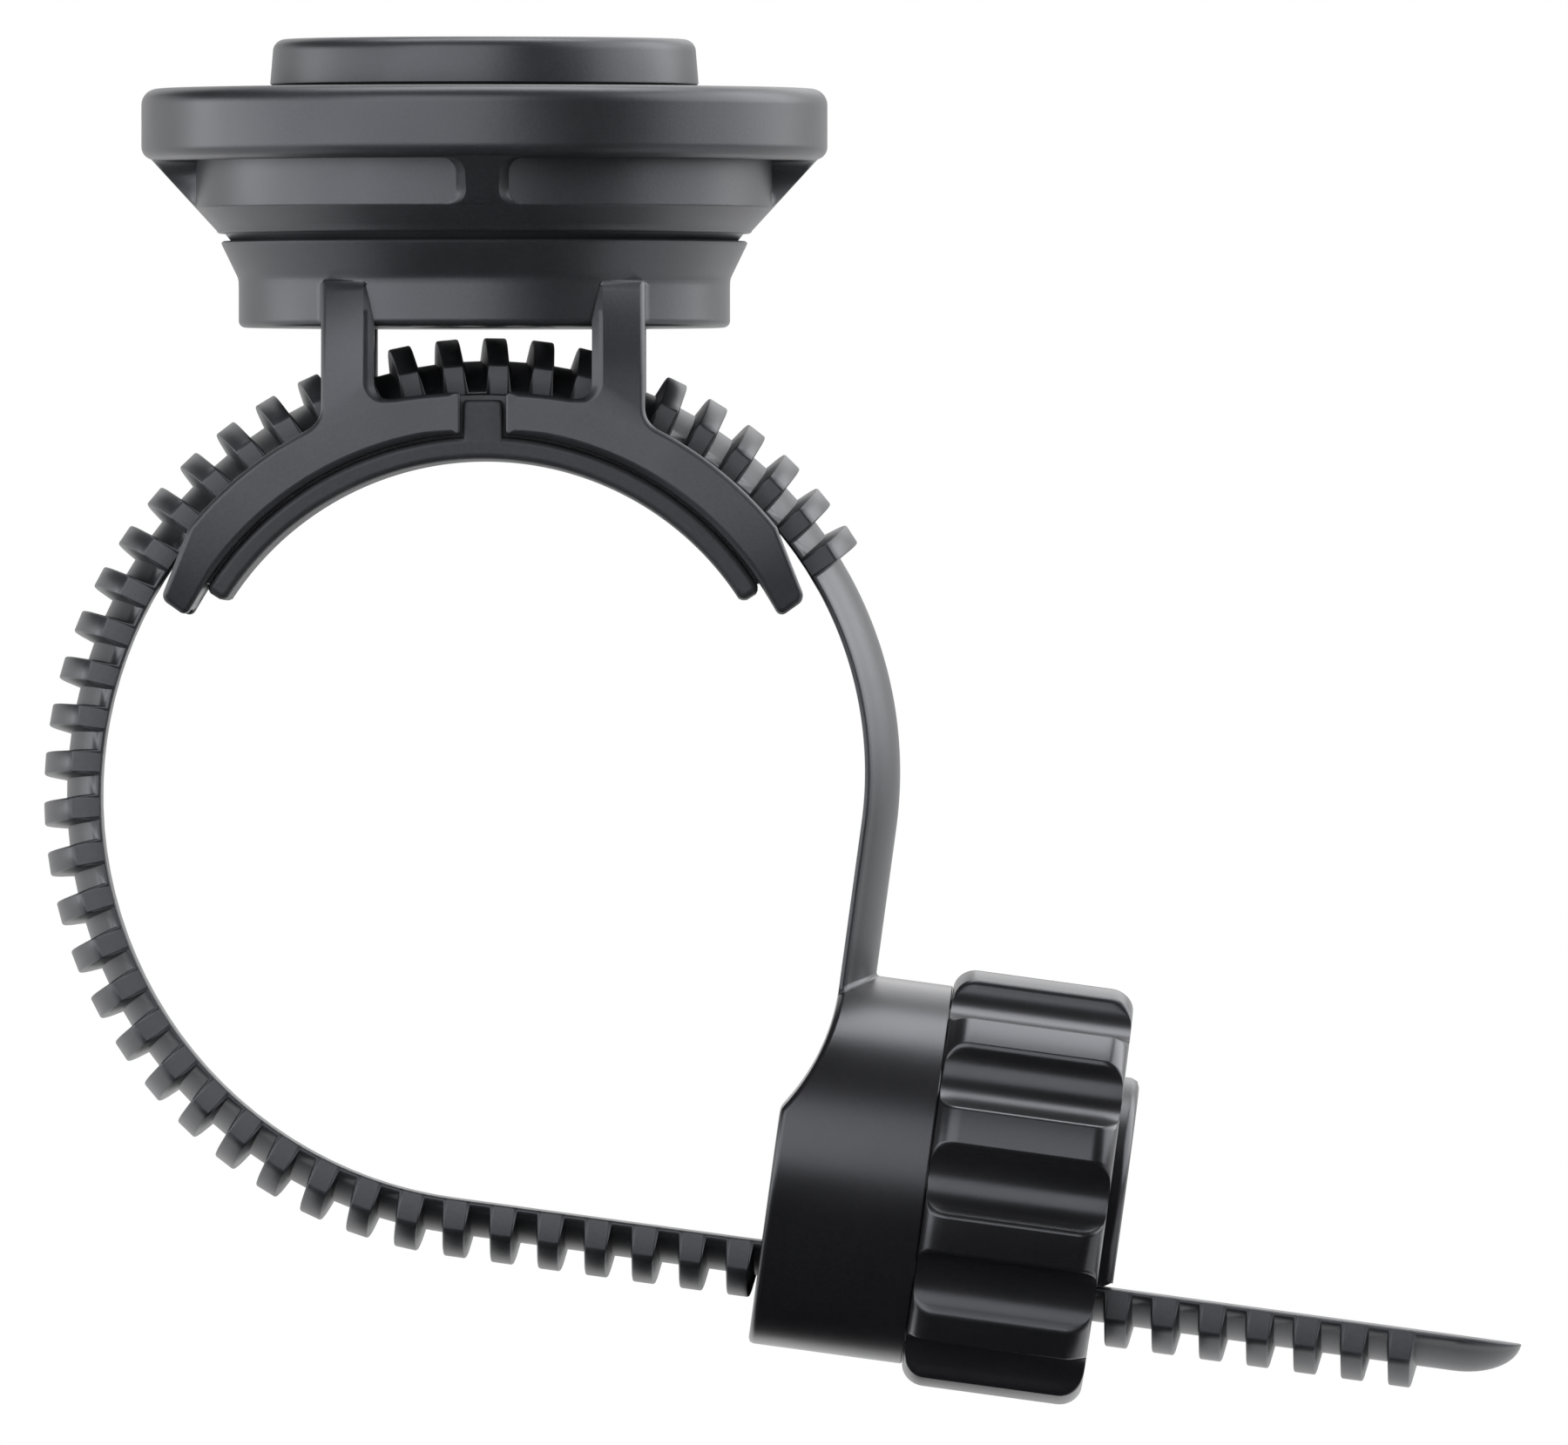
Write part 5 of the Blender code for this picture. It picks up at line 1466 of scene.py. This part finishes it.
@dataclass
class ScrewClamp(SubAssembly):
    """The clamp block at the strap's end and the fluted knob that runs on the strap's teeth."""

    path: StrapPath
    block_radius: float = 10.0
    block_start: float = 16.342
    block_end: float = 24.46
    block_bevel: float = 0.28
    wall_guard: float = 1.2
    end_bevel: float = 0.08
    end_guard: float = 1.5
    scallop_radius: float = 11.1
    scallop_drop: float = 0.9
    scallop_blend: float = 0.12
    # The angle at which the scallop ends, and how close to it the face's rows stand
    crease_angle: float = 104.7
    crease_clear: float = 10.0
    crease_steps: tuple[float, ...] = (8.0, 6.2, 4.6, 3.2, 2.1, 1.2, 0.5)
    face_rows: tuple[int, int] = (24, 32)
    face_columns: int = 12
    face_guard: Point = (0.05, 0.2)
    core_radius: float = 6.5
    core_end: float = 34.85
    core_bevel: float = 0.45
    collet_inner: float = 8.08
    collet_outer: float = 8.78
    collet_end: float = 26.342
    groove_radius: float = 8.38
    groove: Point = (25.017, 25.817)
    tunnel_flat: float = 4.28
    tunnel_half: float = 4.7
    tunnel_ends: Point = (14.0, 35.5)
    tunnel_steps: int = 20
    thread_major: float = 7.93
    thread_minor: float = 6.7565
    thread_pitch: float = 2.5
    thread_tip: float = 0.42
    thread_base: float = 0.68
    thread_first: float = 1.75
    thread_sink: float = 0.5
    thread_stop: float = 0.3
    thread_steps: int = 48
    knob_start: float = 24.492
    knob_end: float = 33.992
    ridge_radius: float = 11.15
    ridge_round: float = 1.2
    ridge_steps: int = 9
    ridge_guard: float = 0.1
    flute_count: int = 12
    flute_floor: float = 9.9
    flute_radius: float = 2.12
    flute_shares: tuple[float, ...] = (0.25, 0.48, 0.66, 0.79, 0.88, 0.95)
    ridge_shares: tuple[float, ...] = (0.05, 0.1, 0.3, 0.5, 0.7, 0.9, 0.95)
    sleeve_radius: float = 9.08
    sleeve_groove: float = 9.48
    shoulder: float = 26.642
    # The bore's mouth: how much wider it is, and how far it starts outside and ends inside
    bore_mouth: tuple[float, float, float] = (0.35, 0.1, 0.25)
    bore_columns: int = 96

    def face_along(self, x: float) -> float:
        """Where the block's left face lies at a height: flat, with a scallop that carries on the neck's face.

        Args:
            x: Distance from the axis towards the strap's teeth.

        Returns:
            The distance along the axis.
        """
        middle_x = self.scallop_drop - self.block_radius
        reach = self.scallop_radius ** 2 - (x - middle_x) ** 2
        scoop = self.path.neck_along - self.scallop_radius + math.sqrt(max(reach, 0.0))
        gap = scoop - self.block_start
        return (scoop + self.block_start + math.sqrt(gap ** 2 + self.scallop_blend ** 2)) / 2

    def block_angles(self) -> list[float]:
        """Angles of the block's left face from its top to its bottom, close together at the scallop's end.

        Returns:
            The angles in degrees.
        """
        crease, clear, steps = self.crease_angle, self.crease_clear, self.crease_steps
        upper = spaced(180, crease + clear, self.face_rows[0]) + [crease + step for step in steps]
        lower = [crease - step for step in reversed(steps)] + spaced(crease - clear, 0, self.face_rows[1])
        return upper + [crease] + lower

    def block_solid(self) -> Solid:
        """The block, drawn from rows across its left face and rings round its wall and core.

        Returns:
            The block without its tunnel.
        """
        draft = bmesh.new()
        angles, columns, bevel = self.block_angles(), self.face_columns, self.block_bevel
        inner = self.block_radius - bevel
        rows = []
        for angle in angles:
            x = inner * math.cos(math.radians(angle))
            half = inner * math.sin(math.radians(angle))
            guard = min(self.face_guard[0], self.face_guard[1] * half)
            inside = spaced(guard - half, half - guard, columns - 2)
            across = [-half, *inside, half] if half > WELD else [0.0]
            rows.append([draft.verts.new((x, y, self.face_along(x))) for y in across])
        for near, far in zip(rows, rows[1:]):
            for j in range(columns):
                corners = [near[min(j, len(near) - 1)], near[min(j + 1, len(near) - 1)],
                           far[min(j + 1, len(far) - 1)], far[min(j, len(far) - 1)]]
                draft.faces.new(list(dict.fromkeys(corners)))
        loops = [[row[-1] for row in rows] + [row[0] for row in reversed(rows[1:-1])]]
        turns = [math.radians(angle) for angle in angles + [-a for a in reversed(angles[1:-1])]]
        for inset, sink in ((ROUND_SHARE, ROUND_SHARE), (0.0, 1.0), (0.0, self.wall_guard)):
            radius = self.block_radius - inset * bevel
            wall = [(radius * math.cos(turn), radius * math.sin(turn)) for turn in turns]
            loops.append([draft.verts.new((x, y, self.face_along(x) + sink * bevel)) for x, y in wall])
        for radius, along in self.end_profile():
            loops.append([draft.verts.new(on_circle(radius, turn, along)) for turn in turns])
        skin(draft, loops)
        draft.faces.new(loops[-1])
        return Solid.welded(draft)

    def end_profile(self) -> list[Point]:
        """The block's wall, its right end, the collet with its ring groove, and the core.

        Returns:
            The (radius, along) points.
        """
        radius, end, bevel = self.block_radius, self.block_end, self.end_bevel
        low, high = self.groove
        core, tip, core_bevel = self.core_radius, self.core_end, self.core_bevel
        return [
            (radius, end - self.end_guard * bevel), (radius, end - bevel),
            (radius - ROUND_SHARE * bevel, end - ROUND_SHARE * bevel), (radius - bevel, end),
            (self.collet_outer, end), (self.collet_outer, low), (self.groove_radius, low),
            (self.groove_radius, high), (self.collet_outer, high), (self.collet_outer, self.collet_end),
            (self.collet_inner, self.collet_end), (self.collet_inner, end),
            (core, end), (core, tip - core_bevel),
            (core - ROUND_SHARE * core_bevel, tip - ROUND_SHARE * core_bevel), (core - core_bevel, tip),
        ]

    def tunnel_solid(self) -> Solid:
        """The way for the strap through the block and beside the core.

        Returns:
            The tool that cuts it.
        """
        reach = math.degrees(math.asin(self.tunnel_half / self.thread_major))
        section = [(self.tunnel_flat, -self.tunnel_half)]
        section += arc((0, 0), self.thread_major, -reach, reach, self.tunnel_steps)
        section.append((self.tunnel_flat, self.tunnel_half))
        return Solid.lofted([[Vector((x, y, z)) for x, y in section] for z in self.tunnel_ends])

    def build_block(self) -> None:
        """The block with its scallop, tunnel and core."""
        block = self.block_solid().cut(self.tunnel_solid()).placed(self.path.screw_frame())
        self.fit(block, "clamp_body", "clamp_block", Slot.BLACK_NYLON, Body.CLAMP)

    def knob_ring(self, ridge: float, along: float) -> Ring:
        """One section of the knob's outside: round flutes between narrow ridges.

        Args:
            ridge: Radius of the ridges there.
            along: Its place along the axis.

        Returns:
            The ring.
        """
        centre, radius = self.flute_floor + self.flute_radius, self.flute_radius
        edge = math.acos((ridge ** 2 + centre ** 2 - radius ** 2) / (2 * ridge * centre))
        span = 2 * math.pi / self.flute_count
        outline = []
        for share in [-s for s in reversed(self.flute_shares)] + [0.0, *self.flute_shares]:
            off = share * edge
            reach = centre * math.cos(off) - math.sqrt(radius ** 2 - (centre * math.sin(off)) ** 2)
            outline.append((off, reach))
        outline += [(edge + share * (span - 2 * edge), ridge) for share in self.ridge_shares]
        return [on_circle(reach, k * span + off, along)
                for k in range(self.flute_count) for off, reach in outline]

    def knob_solid(self) -> Solid:
        """The knob's outside, with its ridges rounded off at both ends.

        Returns:
            The knob without its hole.
        """
        corner = self.ridge_round
        ends = [(self.ridge_radius - corner + reach, corner - drop)
                for drop, reach in arc((0, 0), corner, 0, 90, self.ridge_steps)]
        ends.append((self.ridge_radius, corner + self.ridge_guard))
        rings = [self.knob_ring(ridge, self.knob_start + inset) for ridge, inset in ends]
        rings += [self.knob_ring(ridge, self.knob_end - inset) for ridge, inset in reversed(ends)]
        return Solid.lofted(rings)

    def bore_solid(self) -> Solid:
        """The hole through the knob: the thread's bore, and a stepped sleeve for the collet and its ring.

        Returns:
            The tool that cuts it.
        """
        low, high = self.groove
        start, end = self.knob_start - OVERCUT, self.knob_end + OVERCUT
        wider, outside, inside = self.bore_mouth
        mouth = self.thread_major + wider
        profile = [
            (0.0, end), (mouth, end), (mouth, self.knob_end + outside),
            (self.thread_major, self.knob_end - inside), (self.thread_major, self.shoulder),
            (self.sleeve_radius, self.shoulder), (self.sleeve_radius, high),
            (self.sleeve_groove, high), (self.sleeve_groove, low),
            (self.sleeve_radius, low), (self.sleeve_radius, start), (0.0, start),
        ]
        return Solid.turned(profile, self.bore_columns, closed=False)

    def thread_solid(self) -> Solid:
        """The knob's right-handed thread ridge, which lies between the strap's teeth.

        Returns:
            The ridge, with its base sunk into the bore's wall.
        """
        buried = self.thread_major + self.thread_sink
        corners = ((self.thread_minor, -self.thread_tip), (self.thread_minor, self.thread_tip),
                   (buried, self.thread_base), (buried, -self.thread_base))
        low = self.shoulder + self.thread_base
        high = self.knob_end - self.thread_stop - self.thread_base
        start, end = [(height - self.thread_first) / self.thread_pitch for height in (low, high)]
        rings = []
        for i in range(math.floor((end - start) * self.thread_steps) + 1):
            turns = start + i / self.thread_steps
            height = self.thread_first + turns * self.thread_pitch
            rings.append([on_circle(r, 2 * math.pi * turns, height + z) for r, z in corners])
        return Solid.lofted(rings)

    def build_knob(self) -> None:
        """The fluted knob with its thread."""
        knob = self.knob_solid().cut(self.bore_solid())
        knob.join(self.thread_solid()).placed(self.path.screw_frame())
        self.fit(knob, "fluted_knob", "knob", Slot.BLACK_NYLON, Body.KNOB)

    def build(self) -> None:
        """Build the block and the knob and dress the ring between them."""
        self.build_block()
        self.build_knob()
        self.palette.dress_node("knob_snap_ring", Slot.ZINC)


class Lamp(Enum):
    """The softboxes of the studio."""

    FRONT = "front"
    LEFT = "left"
    RIGHT = "right"
    TOP = "top"
    BACK = "back"


@dataclass(frozen=True)
class Softbox:
    """An even rectangular light that faces the object."""

    azimuth: float
    elevation: float
    distance: float
    width: float
    height: float
    radiance: float


@dataclass
class Studio:
    """White studio: pale floor, soft lamps, a dark room for reflections in front, and the camera."""

    photo_width_mm: float = 82.27
    view_centre: Point = (15.72, 2.15)
    camera_distance: float = 2.4
    sensor_mm: float = 36.0
    clip_end: float = 100.0
    floor_height: float = -0.062
    floor_radius: float = 0.42
    floor_sides: int = 96
    floor_colour: str = "#9C9C9C"
    floor_roughness: float = 0.9
    floor_glow: float = 0.65
    fill: float = 0.3
    room_radius: float = 1.2
    room_colour: str = "#0A0A0B"
    room_floor: float = -0.055
    room_azimuths: tuple[float, float, int] = (-180.0, 180.0, 72)
    room_elevations: tuple[float, float, int] = (-89.0, 76.0, 55)
    # The dark room in degrees: how far round it reaches underfoot, below and level, and where these end
    dark_spreads: tuple[float, float, float] = (90.0, 62.0, 105.0)
    dark_underfoot: Point = (-45.0, -58.0)
    dark_below: float = -8.0
    dark_left_above: float = 18.0
    softboxes: dict[Lamp, Softbox] = field(default_factory=lambda: {
        Lamp.FRONT: Softbox(-21.0, 14.0, 0.45, 0.48, 0.37, 3.6),
        Lamp.LEFT: Softbox(-80.0, 1.5, 0.45, 0.61, 0.23, 4.3),
        Lamp.RIGHT: Softbox(95.0, 27.0, 0.45, 0.60, 0.40, 4.4),
        Lamp.TOP: Softbox(180.0, 83.0, 0.45, 0.50, 0.24, 5.5),
        Lamp.BACK: Softbox(180.0, 35.0, 0.8, 0.8, 0.5, 1.2),
    })

    @staticmethod
    def towards(azimuth: float, elevation: float) -> Vector:
        """Unit vector; azimuth 0 is towards the camera and grows towards +X."""
        a, e = math.radians(azimuth), math.radians(elevation)
        return Vector((math.sin(a) * math.cos(e), -math.cos(a) * math.cos(e), math.sin(e)))

    def build_lamps(self) -> None:
        """Place the softboxes, which the camera doesn't see."""
        middle = Vector((self.view_centre[0] * MM, 0.0, self.view_centre[1] * MM))
        for lamp, box in self.softboxes.items():
            data = bpy.data.lights.new("softbox_" + lamp.value, "AREA")
            data.shape = "RECTANGLE"
            data.size, data.size_y = box.width, box.height
            data.energy = box.radiance * math.pi * box.width * box.height
            light = in_scene(data.name, data)
            aim = self.towards(box.azimuth, box.elevation)
            light.location = middle + aim * box.distance
            light.rotation_mode = "QUATERNION"
            light.rotation_quaternion = (-aim).to_track_quat("-Z", "Y")
            light.visible_camera = False
            LOG.info("softbox %s", lamp.value)

    @staticmethod
    def plainly_seen(tree: bpy.types.NodeTree) -> bpy.types.NodeSocket:
        """Tell rays that see a surface, straight, reflected or through glass, from those that light it.

        Args:
            tree: The nodes of the surface or the world.

        Returns:
            The socket, 1 for a ray that sees and 0 for one that lights.
        """
        path = add_node(tree, "ShaderNodeLightPath").outputs
        seen = path["Is Camera Ray"]
        for ray in ("Is Glossy Ray", "Is Transmission Ray"):
            seen = add_node(tree, "ShaderNodeMath", {0: seen, 1: path[ray]}, operation="MAXIMUM").outputs[0]
        return seen

    def build_world(self) -> None:
        """White to the camera and in reflections, and a dimmer fill for the rest."""
        world = bpy.data.worlds.new("white_studio")
        bpy.context.scene.world = world
        world.use_nodes = True
        tree = world.node_tree
        back = tree.nodes["Background"]
        back.inputs["Color"].default_value = (1.0, 1.0, 1.0, 1.0)
        level = add_node(tree, "ShaderNodeMapRange",
                         {"Value": self.plainly_seen(tree), "To Min": self.fill, "To Max": 1.0})
        tree.links.new(level.outputs[0], back.inputs["Strength"])

    def build_floor(self) -> None:
        """A pale floor below the object, lifted to white for the camera but keeping its shadow."""
        mesh = bpy.data.meshes.new("pale_floor")
        # Round, and no wider than the lamps light evenly, so that it runs out into the white without an edge
        rim = arc((self.view_centre[0] * MM, 0.0), self.floor_radius, 0, 360, self.floor_sides)[:-1]
        mesh.from_pydata([(x, y, self.floor_height) for x, y in rim], [], [list(range(len(rim)))])
        material, paper = new_material("pale_paper_roll")
        tree = material.node_tree
        paper.inputs["Base Color"].default_value = linear(self.floor_colour)
        paper.inputs["Roughness"].default_value = self.floor_roughness
        glow = add_node(tree, "ShaderNodeEmission", {"Strength": self.floor_glow})
        lift = add_node(tree, "ShaderNodeMixShader", {0: self.plainly_seen(tree), 2: glow.outputs[0]})
        total = add_node(tree, "ShaderNodeAddShader", {0: paper.outputs[0], 1: lift.outputs[0]})
        tree.links.new(total.outputs[0], tree.nodes["Material Output"].inputs["Surface"])
        mesh.materials.append(material)
        in_scene("pale_floor", mesh)

    def unlit(self, azimuth: float, elevation: float) -> bool:
        """Whether the studio is dark in a direction: below, in front, and above at the left.

        Args:
            azimuth: The direction's azimuth in degrees.
            elevation: Its elevation in degrees.

        Returns:
            True where it is dark.
        """
        underfoot, below, level = [abs(azimuth) < spread for spread in self.dark_spreads]
        near, straight_down = self.dark_underfoot
        if elevation < near:
            return underfoot or elevation < straight_down
        if elevation < self.dark_below:
            return below
        return level or (elevation > self.dark_left_above and azimuth < 0)

    def build_room(self) -> None:
        """A dark shell round part of the object, seen only in reflections, as an unlit studio is."""
        draft = bmesh.new()
        azimuths, elevations = spaced(*self.room_azimuths), spaced(*self.room_elevations)
        columns = []
        for azimuth in azimuths:
            column = []
            for elevation in elevations:
                ray = self.towards(azimuth, elevation)
                reach = self.room_radius if ray.z >= 0 else min(self.room_radius, self.room_floor / ray.z)
                column.append(draft.verts.new(ray * reach))
            columns.append(column)
        for j, (near, far) in enumerate(zip(columns, columns[1:])):
            for i in range(len(elevations) - 1):
                if self.unlit((azimuths[j] + azimuths[j + 1]) / 2, (elevations[i] + elevations[i + 1]) / 2):
                    draft.faces.new((near[i], near[i + 1], far[i + 1], far[i]))
        mesh = bpy.data.meshes.new("dark_room")
        draft.to_mesh(mesh)
        draft.free()
        material, shader = new_material("black_velvet_flag")
        shader.inputs["Base Color"].default_value = linear(self.room_colour)
        shader.inputs["Roughness"].default_value = 1.0
        shader.inputs["Specular IOR Level"].default_value = 0.0
        mesh.materials.append(material)
        room = in_scene("dark_room", mesh)
        for ray_kind in ("visible_camera", "visible_diffuse", "visible_shadow", "visible_transmission"):
            setattr(room, ray_kind, False)

    def build_camera(self) -> None:
        """A long lens straight on to the side of the mount, along the handlebar."""
        data = bpy.data.cameras.new("side_camera")
        data.sensor_width = self.sensor_mm
        data.lens = self.sensor_mm * self.camera_distance / (self.photo_width_mm * MM)
        data.clip_end = self.clip_end
        camera = in_scene("side_camera", data)
        camera.location = (self.view_centre[0] * MM, -self.camera_distance, self.view_centre[1] * MM)
        camera.rotation_euler = (math.pi / 2, 0.0, 0.0)
        bpy.context.scene.camera = camera

    def build(self) -> None:
        """Build the studio and set the plain view transform."""
        self.build_camera()
        self.build_world()
        self.build_floor()
        self.build_room()
        self.build_lamps()
        bpy.context.scene.view_settings.view_transform = "Standard"


def main() -> None:
    """Build the studio and every sub-assembly in order."""
    logging.basicConfig(level=logging.INFO, format="%(name)s: %(message)s")
    Studio().build()
    palette = Palette()
    path = StrapPath()
    assemblies = (PhoneHead(palette), SaddleBracket(palette), Strap(palette, path), ScrewClamp(palette, path))
    for assembly in assemblies:
        assembly.build()
        LOG.info("%s done", type(assembly).__name__)


if __name__ == "__main__":
    main()
